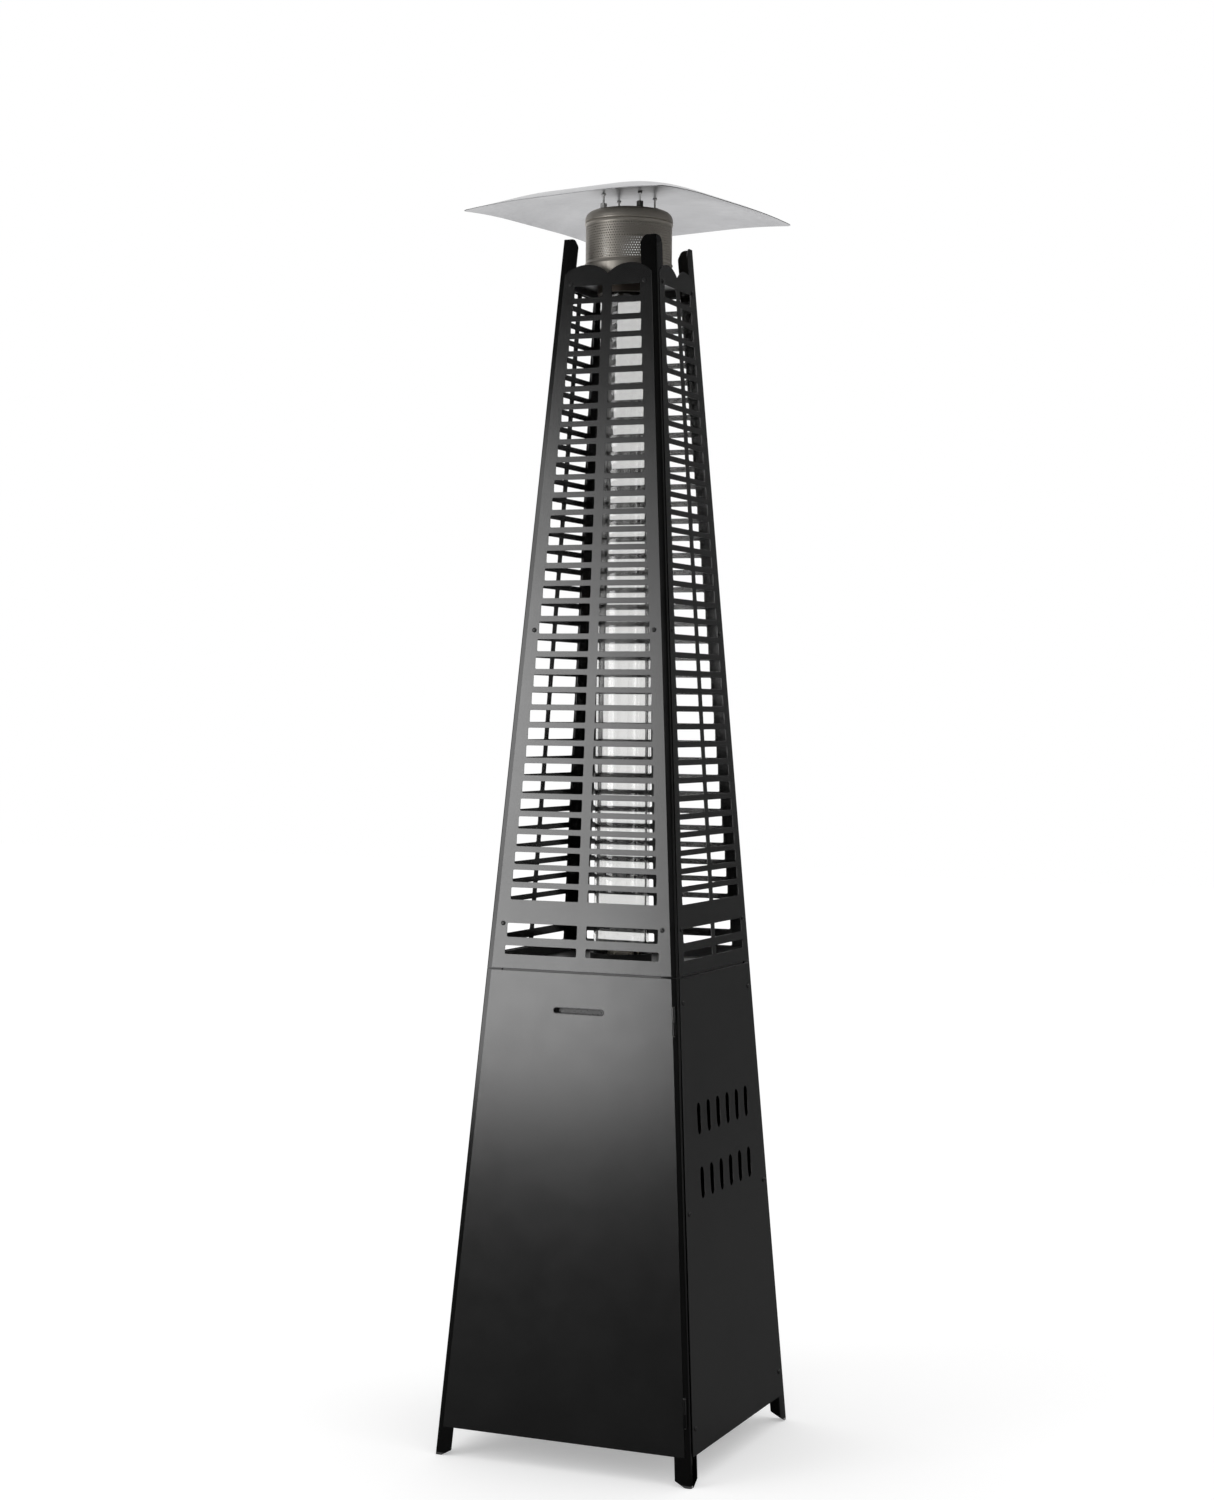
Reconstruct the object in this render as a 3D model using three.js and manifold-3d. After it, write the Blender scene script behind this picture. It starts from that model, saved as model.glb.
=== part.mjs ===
// Pyramid patio heater with a glass flame tube, in millimetres, +Z up.
// The origin lies on the floor under the middle of the four posts, and the cabinet door faces -Y.
import * as THREE from 'three';
import { mergeVertices } from 'three/addons/utils/BufferGeometryUtils.js';
import Module from 'manifold-3d';

const wasm = await Module();
wasm.setup();

// Shared clearances and mesh fineness
const seat = 0.3;
const overrun = 4;
const weldDistance = 1e-4;
const roundSides = 36;
const midSides = 20;
const smallSides = 12;
const holeSides = 6;
const arcSteps = 6;
const archSteps = 10;
const shoulderSteps = 4;

// Frame of four leaning angle posts, measured across their outer corners
const baseSide = 487;
const tipSide = 178;
const postHeight = 2162;
const postFlange = 30;
const postWall = 2;
const tipFlat = 22;
const tipCutAngle = THREE.MathUtils.degToRad(64);
const footFlat = 12;
const footCutAngle = THREE.MathUtils.degToRad(28);
const cutterSize = 120;

// Sheet skins of the cabinet and the guards, and the dark seam between them
const sheet = 1;
const skinMargin = 10;
const panelBottom = 50;
const seamHeight = 860;
const seamGap = 4;
const lipDepth = 12;

// Slotted guards, of which two have one more row of slots in place of a broad band
const guardDrop = 48;
const archRise = 17;
const slotHeight = 21.4;
const slotPitch = 31.5;
const slotMargin = 32;
const spineWidth = 18;
const topSlotDrop = 49;
const guardBand = 38;
const slimGuardBand = 8;
const slimBandSides = ['rear', 'left'];
const upperVentRise = 69.5;
const upperVentHeight = 24.6;
const lowerVentRise = 34.5;
const lowerVentHeight = 15.4;

// Louvre slots of the two side panels
const louvreRows = 2;
const louvreColumns = 6;
const louvrePitch = 47;
const louvreRowPitch = 111;
const louvreWidth = 18;
const louvreHeight = 56;
const louvreDrop = 250;

// Bottom shelf that the gas cylinder stands on
const plateSheet = 1.5;
const shelfLift = 3;
const shelfRim = 18;

// Burner deck, whose deep rim also joins the lower and upper posts
const deckRim = 50;
const deckRise = 2;

// Top plate under the flame screen, just above the highest slots
const topPlateDrop = 22;
const topPlateRim = 14;

// Door, its inner pan, finger slot and hinges
const panClearance = 2;
const panDepth = 14;
const panGap = 6;
const fingerSlotWidth = 95;
const fingerSlotHeight = 9;
const fingerSlotDrop = 67;
const pullBorder = 10;
const pullDepth = 12;
const pullWall = 1.2;
const knuckleRadius = 3.2;
const knuckleLength = 24;
const pinRadius = 1.5;
const pinHeadRadius = 2.6;
const pinHeadHeight = 1.5;
const upperHingeDrop = 75;
const lowerHingeRise = 75;

// Magnet catch behind the top of the door
const catchWidth = 40;
const catchDepth = 12;
const catchNose = 12;
const catchRise = 14;

// Glass flame tube with its lower seat and upper collar
const tubeRadius = 50;
const tubeWall = 2.5;
const tubeProud = 10;
const ringWall = 5.5;
const ledgeWidth = 4.5;
const ledgeHeight = 4;
const ringHeight = 18;
const collarFlange = 6;
const collarSheet = 2;
const collarDepth = 21;

// Burner in the foot of the tube
const burnerPlateRadius = 44;
const burnerPlateSheet = 2;
const deckBoreRadius = 39;
const cupRadius = 24;
const cupFlange = 5;
const cupDepth = 28;
const cupWall = 1.5;
const headHeight = 24;
const headHoleRadius = 2.5;
const headHoles = 6;
const headCrownHoles = 6;
const crownHoleShare = 0.55;
const mixerRadius = 11;
const mixerWall = 1.5;
const mixerLength = 88;
const mixerFlange = 5;
const mixerWaistShare = 0.7;
const airHoleRadius = 4.5;
const airHoleRise = 14;
const jetRadius = 10;
const jetLength = 15;
const jetSpigot = 8;

// Pilot, electrode and thermocouple, which stand beside the burner head
const probeCircle = 35;
const probeSpread = THREE.MathUtils.degToRad(40);
const probeCollar = 1.5;
const probeTail = 18;
const pilotRadius = 3.2;
const pilotRise = 26;
const electrodeRadius = 2.6;
const electrodeRise = 22;
const electrodeWire = 0.9;
const electrodeWireLength = 12;
const thermocoupleRadius = 2;
const thermocoupleRise = 30;

// Tilt switch under the deck
const tiltWidth = 26;
const tiltHeight = 22;
const tiltPlaceShare = 0.55;

// Controls behind the cut-out in the rear panel
const controlDrop = 85;
const controlWidth = 150;
const controlHeight = 80;
const cutoutBorder = 13;
const knobPlaceShare = 0.2;
const knobRadius = 19;
const knobSkirt = 3;
const knobSkirtHeight = 3;
const knobHeight = 18;
const knobGrip = 6;
const knobGripRise = 5;
const knobClearance = 4;
const knobTravel = 3;
const spindleRadius = 3;
const spindleGrip = 11;
const spindleReach = 16;
const spindlePlay = 0.4;
const valveWidth = 42;
const valveTall = 46;
const valveDepth = 34;
const bossRadius = 8;
const bossLength = 8;
const inletRadius = 7;
const inletBore = 3;
const inletLength = 34;
const inletBarbs = 3;
const inletBarb = 1.4;
const igniterRadius = 9;
const igniterDepth = 46;
const igniterFlange = 3.5;
const igniterFlangeHeight = 2.5;
const igniterBoreRadius = 6.4;
const igniterBoreDepth = 24;
const buttonTravel = 4;
const buttonStem = 16;
const buttonHeadRadius = 9.5;
const buttonHeadHeight = 6;

// Pipes and leads under the deck
const supplyRadius = 4;
const pilotPipeRadius = 2;
const leadRadius = 1.5;
const pipeBend = 24;
const pipeSteps = 18;
const leadSag = 12;

// Perforated flame screen and its cap
const screenRadius = 78;
const screenHeight = 112;
const screenWall = 1;
const beadRise = 1.8;
const beadHeight = 6;
const beadMargin = 4;
const lowerBeadRise = 32;
const screenHoleRadius = 2.5;
const screenHoleRows = 3;
const screenHolePitch = 17;
const capShoulder = 16;
const capSkirt = 4;

// Reflector on four studs, each with a tall nut on the cap, a rest under the sheet and a wing nut above
const reflectorSide = 430;
const reflectorSheet = 1.2;
const reflectorTurn = THREE.MathUtils.degToRad(-11.5);
const reflectorDome = 40;
const reflectorEdgeRise = 7;
const reflectorCells = 9;
const reflectorFlatShare = 1 / 3;
const studCircle = 50;
const studHeight = 29;
const footNutRadius = 6.5;
const footNutHeight = 12;
const restRadius = 4.5;
const restHeight = 2;
const shankRadius = 2.5;
const shankTail = 8;
const shankPlay = 0.4;
const nutRadius = 6.5;
const nutHeight = 7;
const wingSpan = 15;
const wingRise = 7;
const wingThickness = 2.5;

// Heights and slopes that follow from the sizes above
const baseHalf = baseSide / 2;
const lean = (baseSide - tipSide) / 2 / postHeight;
const leanAngle = Math.atan(lean);
const guardTop = postHeight - guardDrop;
const plateInset = postWall + seat;
const shelfBottom = panelBottom + shelfLift;
const shelfTop = shelfBottom + shelfRim;
const deckBottom = seamHeight - deckRim / 2;
const deckUnder = seamHeight + deckRise;
const deckTop = deckUnder + plateSheet;
const topPlateTop = guardTop - topPlateDrop;
const controlsAt = seamHeight - controlDrop;
const screenBottom = topPlateTop + seat;
const screenTop = screenBottom + screenHeight;
const lowerBead = screenBottom + lowerBeadRise;
const upperBead = screenTop - beadMargin - beadHeight / 2;
const capBottom = upperBead + beadHeight / 2 + seat;
const capTop = capBottom + capSkirt + capShoulder;
const reflectorUnder = capTop + studHeight;
const burnerPlateTop = deckTop + seat + burnerPlateSheet;
const cupBottom = burnerPlateTop - cupDepth;
const mixerBottom = cupBottom - seat - mixerLength;
const jetBottom = mixerBottom - seat - jetLength;
const tubeBottom = deckTop + seat + ledgeHeight + seat;

function halfAt(height) {
  return baseHalf - lean * height;
}

function slantedTo(height) {
  return height / Math.cos(leanAngle);
}

// Solids: joining and cutting closed meshes
function solidFrom(geometry) {
  const bare = geometry.clone();
  bare.deleteAttribute('normal');
  bare.deleteAttribute('uv');
  const welded = mergeVertices(bare, weldDistance);
  const corners = welded.index.array;
  const triangles = [];
  for (let first = 0; first < corners.length; first += 3) {
    const [a, b, c] = corners.slice(first, first + 3);
    if (a !== b && b !== c && c !== a) {
      triangles.push(a, b, c);
    }
  }
  return new wasm.Manifold(new wasm.Mesh({
    numProp: 3,
    vertProperties: new Float32Array(welded.attributes.position.array),
    triVerts: new Uint32Array(triangles),
  }));
}

function geometryFrom(solid) {
  const mesh = solid.getMesh();
  const geometry = new THREE.BufferGeometry();
  geometry.setAttribute('position', new THREE.BufferAttribute(new Float32Array(mesh.vertProperties), 3));
  geometry.setIndex(new THREE.BufferAttribute(new Uint32Array(mesh.triVerts), 1));
  geometry.computeVertexNormals();
  return geometry;
}

function join(...geometries) {
  return geometryFrom(geometries.map(solidFrom).reduce((sum, next) => sum.add(next)));
}

function cut(geometry, ...cutters) {
  return geometryFrom(cutters.map(solidFrom).reduce((rest, next) => rest.subtract(next), solidFrom(geometry)));
}

// Shapes in the plane of a leaning face: x to the right seen from outside, y up the slope
function outlineBetween(low, high, margin) {
  const outline = new THREE.Shape();
  outline.moveTo(margin - halfAt(low), slantedTo(low));
  outline.lineTo(halfAt(low) - margin, slantedTo(low));
  outline.lineTo(halfAt(high) - margin, slantedTo(high));
  outline.lineTo(margin - halfAt(high), slantedTo(high));
  outline.closePath();
  return outline;
}

function rectangle(left, right, bottom, top) {
  const path = new THREE.Shape();
  path.moveTo(left, bottom);
  path.lineTo(right, bottom);
  path.lineTo(right, top);
  path.lineTo(left, top);
  path.closePath();
  return path;
}

function roundEnded(width, height, centreHeight) {
  const reach = (width - height) / 2;
  const path = new THREE.Shape();
  path.absarc(reach, centreHeight, height / 2, -Math.PI / 2, Math.PI / 2);
  path.absarc(-reach, centreHeight, height / 2, Math.PI / 2, Math.PI * 1.5);
  path.closePath();
  return path;
}

function disc(x, y, radius) {
  const path = new THREE.Shape();
  path.absarc(x, y, radius, 0, Math.PI * 2);
  path.closePath();
  return path;
}

function plate(outline, from, thickness) {
  const geometry = new THREE.ExtrudeGeometry(outline, {
    depth: thickness,
    bevelEnabled: false,
    curveSegments: arcSteps,
  });
  return geometry.translate(0, 0, from);
}

function skin(outline) {
  return plate(outline, seat, sheet);
}

// A cutter through a skin
function punch(outline) {
  return plate(outline, seat - overrun, sheet + overrun * 2);
}

// Round bodies about +Z, from a profile of [radius, height] pairs that runs up the outside
function turned(profile, sides = roundSides) {
  const points = profile.map(([radius, height]) => new THREE.Vector2(radius, height));
  return new THREE.LatheGeometry(points, sides).rotateX(Math.PI / 2);
}

function rod(radius, from, to, sides = smallSides) {
  return turned([[0, from], [radius, from], [radius, to], [0, to]], sides);
}

function tube(outer, inner, from, to, sides = roundSides) {
  return turned([[inner, from], [outer, from], [outer, to], [inner, to], [inner, from]], sides);
}

function block(width, depth, height, x, y, z) {
  return new THREE.BoxGeometry(width, depth, height).translate(x, y, z);
}

// A square body whose four sides lie a fixed distance inside the leaning faces
function leaningBlock(low, high, inset) {
  const geometry = new THREE.CylinderGeometry(
    (halfAt(high) - inset) * Math.SQRT2,
    (halfAt(low) - inset) * Math.SQRT2,
    high - low,
    4,
  );
  return geometry.rotateX(Math.PI / 2).rotateZ(Math.PI / 4).translate(0, 0, (low + high) / 2);
}

function pipeAlong(points, radius) {
  const path = new THREE.CatmullRomCurve3(points);
  const section = disc(0, 0, radius);
  return new THREE.ExtrudeGeometry(section, {
    steps: pipeSteps,
    curveSegments: arcSteps / 2,
    extrudePath: path,
  });
}

// Finishes and the named meshes of the heater
const finishes = {
  powder: { color: 0x1f1f20, roughness: 0.38, metalness: 0.35 },
  inner: { color: 0x2b2b2c, roughness: 0.5, metalness: 0.4 },
  stainless: { color: 0x8d8a84, roughness: 0.32, metalness: 0.95 },
  mirror: { color: 0xd9dadb, roughness: 0.2, metalness: 0.95 },
  zinc: { color: 0xb4b4b0, roughness: 0.4, metalness: 0.9 },
  brass: { color: 0xb08d4c, roughness: 0.35, metalness: 0.9 },
  glass: { color: 0xe8f0f0, roughness: 0.05, metalness: 0, transparent: true, opacity: 0.35 },
  silicone: { color: 0x151515, roughness: 0.85, metalness: 0 },
  plastic: { color: 0x121212, roughness: 0.45, metalness: 0 },
  ceramic: { color: 0xe9e4d8, roughness: 0.5, metalness: 0 },
};

const heater = new THREE.Group();

function add(name, geometry, finish, parent = heater) {
  const mesh = new THREE.Mesh(geometryFrom(solidFrom(geometry)), new THREE.MeshStandardMaterial(finishes[finish]));
  mesh.name = name;
  parent.add(mesh);
  return mesh;
}

function quarterTurn(turns) {
  const group = new THREE.Group();
  group.rotation.z = turns * Math.PI / 2;
  heater.add(group);
  return group;
}

function leaningFace(turns) {
  const face = new THREE.Group();
  face.position.y = -baseHalf;
  face.rotation.x = Math.PI / 2 - leanAngle;
  quarterTurn(turns).add(face);
  return face;
}

const sideNames = ['front', 'right', 'rear', 'left'];
const cornerNames = ['front_right', 'rear_right', 'rear_left', 'front_left'];
const faces = sideNames.map((name, turns) => leaningFace(turns));
const [frontFace, , rearFace] = faces;

// Posts: an L section lofted along the leaning corner, with cut tips and feet
function postSection(height) {
  const half = halfAt(height);
  return [
    [half, -half],
    [half, postFlange - half],
    [half - postWall, postFlange - half],
    [half - postWall, postWall - half],
    [half - postFlange, postWall - half],
    [half - postFlange, -half],
  ].map(([x, y]) => new THREE.Vector3(x, y, height));
}

function loft(lower, upper) {
  const count = lower.length;
  const positions = [...lower, ...upper].flatMap((point) => point.toArray());
  const indices = [];
  for (let here = 0; here < count; here += 1) {
    const next = (here + 1) % count;
    indices.push(here, next, count + next, here, count + next, count + here);
  }
  const flat = lower.map((point) => new THREE.Vector2(point.x, point.y));
  for (const [a, b, c] of THREE.ShapeUtils.triangulateShape(flat, [])) {
    indices.push(a, c, b, count + a, count + b, count + c);
  }
  const geometry = new THREE.BufferGeometry();
  geometry.setAttribute('position', new THREE.Float32BufferAttribute(positions, 3));
  geometry.setIndex(indices);
  return geometry;
}

function cornerCutter(height, flat, angle, upward) {
  const steep = Math.tan(angle);
  const normal = new THREE.Vector3(-steep, steep, upward).normalize();
  const turn = new THREE.Quaternion().setFromUnitVectors(new THREE.Vector3(0, 0, 1), normal);
  return block(cutterSize, cutterSize, cutterSize, 0, 0, cutterSize / 2)
    .applyQuaternion(turn)
    .translate(halfAt(height) - flat, -halfAt(height), height);
}

function addPosts() {
  const split = seat / 2;
  cornerNames.forEach((corner, turns) => {
    const group = quarterTurn(turns);
    const lower = loft(postSection(0), postSection(seamHeight - split));
    const upper = loft(postSection(seamHeight + split), postSection(postHeight));
    const footCut = cornerCutter(0, footFlat, footCutAngle, -1);
    const tipCut = cornerCutter(postHeight, tipFlat, tipCutAngle, 1);
    add(`lower_post_${corner}`, cut(lower, footCut), 'powder', group);
    add(`upper_post_${corner}`, cut(upper, tipCut), 'powder', group);
  });
}

// Guards: two columns of slots beside a central spine, under two shallow arches
function guardOutline() {
  const low = seamHeight + seamGap / 2;
  const shoulder = guardTop - archRise;
  const edge = halfAt(shoulder) - skinMargin;
  const bottomEdge = halfAt(low) - skinMargin;
  const radius = (edge * edge / 4 + archRise * archRise) / (2 * archRise);
  const centre = slantedTo(guardTop) - radius;
  const sweep = Math.asin(edge / 2 / radius);
  const outline = new THREE.Shape();
  outline.moveTo(-bottomEdge, slantedTo(low));
  outline.lineTo(bottomEdge, slantedTo(low));
  for (let step = 0; step < archSteps * 2; step += 1) {
    const middle = step < archSteps ? edge / 2 : -edge / 2;
    const angle = Math.PI / 2 - sweep + (step % archSteps) / archSteps * sweep * 2;
    outline.lineTo(middle + radius * Math.cos(angle), centre + radius * Math.sin(angle));
  }
  outline.lineTo(-edge, centre + radius * Math.cos(sweep));
  outline.closePath();
  return outline;
}

function slotPair(height, tall) {
  const bottom = slantedTo(height - tall / 2);
  const top = slantedTo(height + tall / 2);
  const inner = spineWidth / 2;
  const outer = halfAt(height + tall / 2) - slotMargin;
  return [punch(rectangle(inner, outer, bottom, top)), punch(rectangle(-outer, -inner, bottom, top))];
}

function guardSlots(band) {
  const topSlot = guardTop - topSlotDrop;
  const lowestSlot = seamHeight + upperVentRise + (upperVentHeight + slotHeight) / 2 + band;
  const rows = Math.floor((topSlot - lowestSlot) / slotPitch) + 1;
  const slots = slotPair(seamHeight + upperVentRise, upperVentHeight);
  slots.push(...slotPair(seamHeight + lowerVentRise, lowerVentHeight));
  for (let row = 0; row < rows; row += 1) {
    slots.push(...slotPair(topSlot - row * slotPitch, slotHeight));
  }
  return slots;
}

function addGuards() {
  sideNames.forEach((side, turns) => {
    const band = slimBandSides.includes(side) ? slimGuardBand : guardBand;
    add(`guard_${side}`, cut(skin(guardOutline()), ...guardSlots(band)), 'powder', faces[turns]);
  });
}

// Cabinet panels: a skin with an inward lip along its bottom edge
function bottomLip() {
  const reach = halfAt(panelBottom) - postFlange - panClearance;
  const bottom = slantedTo(panelBottom);
  return block(reach * 2, sheet, lipDepth + sheet, 0, bottom + sheet / 2, seat + sheet - (lipDepth + sheet) / 2);
}

function cabinetOutline() {
  return outlineBetween(panelBottom, seamHeight - seamGap / 2, skinMargin);
}

function louvres() {
  const slots = [];
  for (let row = 0; row < louvreRows; row += 1) {
    const middle = slantedTo(seamHeight - louvreDrop - row * louvreRowPitch);
    const low = middle - louvreHeight / 2;
    for (let column = 0; column < louvreColumns; column += 1) {
      const left = (column - (louvreColumns - 1) / 2) * louvrePitch - louvreWidth / 2;
      slots.push(punch(rectangle(left, left + louvreWidth, low, low + louvreHeight)));
    }
  }
  return slots;
}

function controlCutout() {
  const middle = slantedTo(controlsAt);
  const reach = controlWidth / 2 - cutoutBorder;
  const rise = controlHeight / 2 - cutoutBorder;
  return punch(rectangle(-reach, reach, middle - rise, middle + rise));
}

function addPanels() {
  const blank = join(skin(cabinetOutline()), bottomLip());
  const [, rightFace, , leftFace] = faces;
  add('right_panel', cut(blank, ...louvres()), 'powder', rightFace);
  add('left_panel', cut(blank, ...louvres()), 'powder', leftFace);
  add('rear_panel', cut(blank, controlCutout()), 'powder', rearFace);
}

// Shelf, burner deck and top plate: pressed trays that fit between the posts
function addTrays() {
  const shelf = cut(
    leaningBlock(shelfBottom, shelfTop, plateInset),
    leaningBlock(shelfBottom - overrun, shelfTop - plateSheet, plateInset + plateSheet),
  );
  add('bottom_shelf', shelf, 'inner');
  const deck = cut(
    leaningBlock(deckBottom, deckBottom + deckRim, plateInset),
    leaningBlock(deckBottom - overrun, deckUnder, plateInset + plateSheet),
    leaningBlock(deckTop, deckBottom + deckRim + overrun, plateInset + plateSheet),
    rod(deckBoreRadius, deckUnder - overrun, deckTop + overrun, roundSides),
  );
  add('burner_deck', deck, 'inner');
  const topPlate = cut(
    leaningBlock(topPlateTop - topPlateRim, topPlateTop, plateInset),
    leaningBlock(topPlateTop - topPlateRim - overrun, topPlateTop - plateSheet, plateInset + plateSheet),
    rod(tubeRadius + ringWall + seat * 2, topPlateTop - topPlateRim, topPlateTop + overrun, roundSides),
  );
  add('top_plate', topPlate, 'inner');
}

// Door hinges: rolled knuckles on a line along the right edge of the door, just outside the post
const hingeRise = knuckleRadius + seat;
const hingeTilt = Math.atan(Math.sin(leanAngle));
const hingeHeights = {
  upper: seamHeight - upperHingeDrop,
  lower: panelBottom + lowerHingeRise,
};

function hingePlace(height) {
  const place = new THREE.Object3D();
  place.position.set(halfAt(height) - skinMargin + hingeRise, slantedTo(height), hingeRise);
  place.rotation.z = hingeTilt;
  place.updateMatrix();
  return place.matrix;
}

function knuckle(from, towards) {
  const barrel = tube(knuckleRadius, pinRadius + seat, from, from + knuckleLength, smallSides);
  const reach = hingeRise + sheet;
  const leaf = block(
    reach,
    knuckleLength,
    sheet,
    towards * reach / 2,
    from + knuckleLength / 2,
    seat + sheet / 2 - hingeRise,
  );
  const bore = rod(pinRadius + seat, from - overrun, from + knuckleLength + overrun);
  return cut(join(barrel.rotateX(-Math.PI / 2), leaf), bore.rotateX(-Math.PI / 2));
}

function hingePin() {
  const top = knuckleLength + seat * 2;
  const shank = rod(pinRadius, -knuckleLength - pinHeadHeight, top + pinHeadHeight / 2);
  const head = rod(pinHeadRadius, top, top + pinHeadHeight);
  return join(shank, head).rotateX(-Math.PI / 2);
}

function addDoor() {
  const slotAt = slantedTo(seamHeight - fingerSlotDrop);
  const slot = punch(roundEnded(fingerSlotWidth, fingerSlotHeight, slotAt));
  const panLow = shelfTop + panGap;
  const panHigh = deckBottom - catchNose - panGap;
  const panMargin = postFlange + panClearance;
  const pan = cut(
    plate(outlineBetween(panLow, panHigh, panMargin), seat - panDepth, panDepth + sheet / 2),
    plate(outlineBetween(panLow + sheet, panHigh - sheet, panMargin + sheet), -panDepth * 2, panDepth * 3),
  );
  const knuckles = Object.values(hingeHeights).map((height) => knuckle(seat, -1).applyMatrix4(hingePlace(height)));
  add('door', cut(join(skin(cabinetOutline()), pan, ...knuckles), slot), 'powder', frontFace);

  const cupWidth = fingerSlotWidth + pullBorder * 2;
  const cupTall = fingerSlotHeight + pullBorder * 2;
  const cup = cut(
    block(cupWidth, cupTall, pullDepth, 0, slotAt, -pullDepth / 2),
    block(cupWidth - pullWall * 2, cupTall - pullWall * 2, pullDepth, 0, slotAt, pullWall - pullDepth / 2),
  );
  add('door_pull_cup', cup, 'plastic', frontFace);
}

function addHinges() {
  for (const [level, height] of Object.entries(hingeHeights)) {
    const fixed = knuckle(-knuckleLength, 1).applyMatrix4(hingePlace(height));
    add(`door_hinge_${level}`, fixed, 'powder', frontFace);
    add(`door_hinge_pin_${level}`, hingePin().applyMatrix4(hingePlace(height)), 'zinc', frontFace);
  }
}

// Magnet catch: a body on the inside of the deck's rim with a nose below it that meets the door
function addCatch() {
  const rimInside = plateInset * Math.cos(leanAngle) + plateSheet + seat;
  const profile = new THREE.Shape();
  profile.moveTo(0, 0);
  profile.lineTo(rimInside + catchDepth, 0);
  profile.lineTo(rimInside + catchDepth, catchNose + catchRise);
  profile.lineTo(rimInside, catchNose + catchRise);
  profile.lineTo(rimInside, catchNose - seat);
  profile.lineTo(0, catchNose - seat);
  profile.closePath();
  const body = plate(profile, -catchWidth / 2, catchWidth).rotateY(Math.PI / 2);
  add('door_catch', body.translate(0, slantedTo(deckBottom) - catchNose, 0), 'plastic', frontFace);
}

// Glass tube between its lower seat on the deck and its upper collar in the top plate
function addTube() {
  const outer = tubeRadius + seat * 2 + ringWall;
  const loose = tubeRadius + seat * 2;
  const ledge = tubeRadius - ledgeWidth;
  const bottom = deckTop + seat;
  const lowerSeat = turned([
    [ledge, bottom],
    [outer, bottom],
    [outer, bottom + ringHeight],
    [loose, bottom + ringHeight],
    [loose, bottom + ledgeHeight],
    [ledge, bottom + ledgeHeight],
    [ledge, bottom],
  ]);
  add('tube_seat', lowerSeat, 'silicone');
  add('glass_tube', tube(tubeRadius, tubeRadius - tubeWall, tubeBottom, topPlateTop + tubeProud), 'glass');
  const flangeTop = topPlateTop + seat + collarSheet;
  const sleeve = loose + ringWall - seat;
  const collar = turned([
    [loose, topPlateTop - collarDepth],
    [sleeve, topPlateTop - collarDepth],
    [sleeve, topPlateTop + seat],
    [outer + collarFlange, topPlateTop + seat],
    [outer + collarFlange, flangeTop],
    [loose, flangeTop],
    [loose, topPlateTop - collarDepth],
  ]);
  add('tube_collar', collar, 'zinc');
}

// Burner: cup and perforated head on a round plate, fed by a mixing tube and a jet
function burnerHead() {
  const bottom = burnerPlateTop + cupWall + seat * 2;
  const top = bottom + headHeight;
  const shell = turned([
    [cupRadius - cupWall, bottom],
    [cupRadius + cupFlange, bottom],
    [cupRadius + cupFlange, bottom + cupWall],
    [cupRadius, bottom + cupWall],
    [cupRadius, top],
    [0, top],
    [0, top - cupWall],
    [cupRadius - cupWall, top - cupWall],
    [cupRadius - cupWall, bottom],
  ], midSides);
  const cutters = [];
  for (let hole = 0; hole < headHoles; hole += 1) {
    const drill = rod(headHoleRadius, -cupRadius - overrun, cupRadius + overrun, holeSides);
    cutters.push(drill.rotateX(Math.PI / 2).rotateZ(hole * Math.PI / headHoles).translate(0, 0, (bottom + top) / 2));
  }
  for (let hole = 0; hole < headCrownHoles; hole += 1) {
    const drill = rod(headHoleRadius, top - cupWall - overrun, top + overrun, holeSides);
    cutters.push(drill.translate(cupRadius * crownHoleShare, 0, 0).rotateZ(hole * 2 * Math.PI / headCrownHoles));
  }
  return cut(shell, ...cutters);
}

function mixingTube() {
  const top = cupBottom - seat;
  const inner = mixerRadius - mixerWall;
  const waist = mixerRadius * mixerWaistShare;
  const middle = mixerBottom + mixerLength / 2;
  const body = turned([
    [inner, mixerBottom],
    [mixerRadius, mixerBottom],
    [mixerRadius, mixerBottom + airHoleRise * 2],
    [waist, middle],
    [mixerRadius, top - mixerWall],
    [mixerRadius + mixerFlange, top - mixerWall],
    [mixerRadius + mixerFlange, top],
    [inner, top],
    [waist - mixerWall, middle],
    [inner, mixerBottom + airHoleRise * 2],
    [inner, mixerBottom],
  ], smallSides);
  const across = rod(airHoleRadius, -mixerRadius - overrun, mixerRadius + overrun, holeSides)
    .rotateX(Math.PI / 2)
    .translate(0, 0, mixerBottom + airHoleRise);
  return cut(body, across, across.clone().rotateZ(Math.PI / 2));
}

const probes = {
  pilot: Math.PI / 2,
  electrode: Math.PI / 2 + probeSpread,
  thermocouple: Math.PI / 2 - probeSpread,
};

function probePlace(angle, height) {
  return new THREE.Vector3(probeCircle * Math.cos(angle), probeCircle * Math.sin(angle), height);
}

function probe(radius, rise) {
  const foot = burnerPlateTop + seat;
  return turned([
    [0, foot - probeTail],
    [radius, foot - probeTail],
    [radius, foot],
    [radius + probeCollar, foot],
    [radius + probeCollar, foot + probeCollar],
    [radius, foot + probeCollar],
    [radius, foot + rise],
    [0, foot + rise],
  ], smallSides);
}

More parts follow.
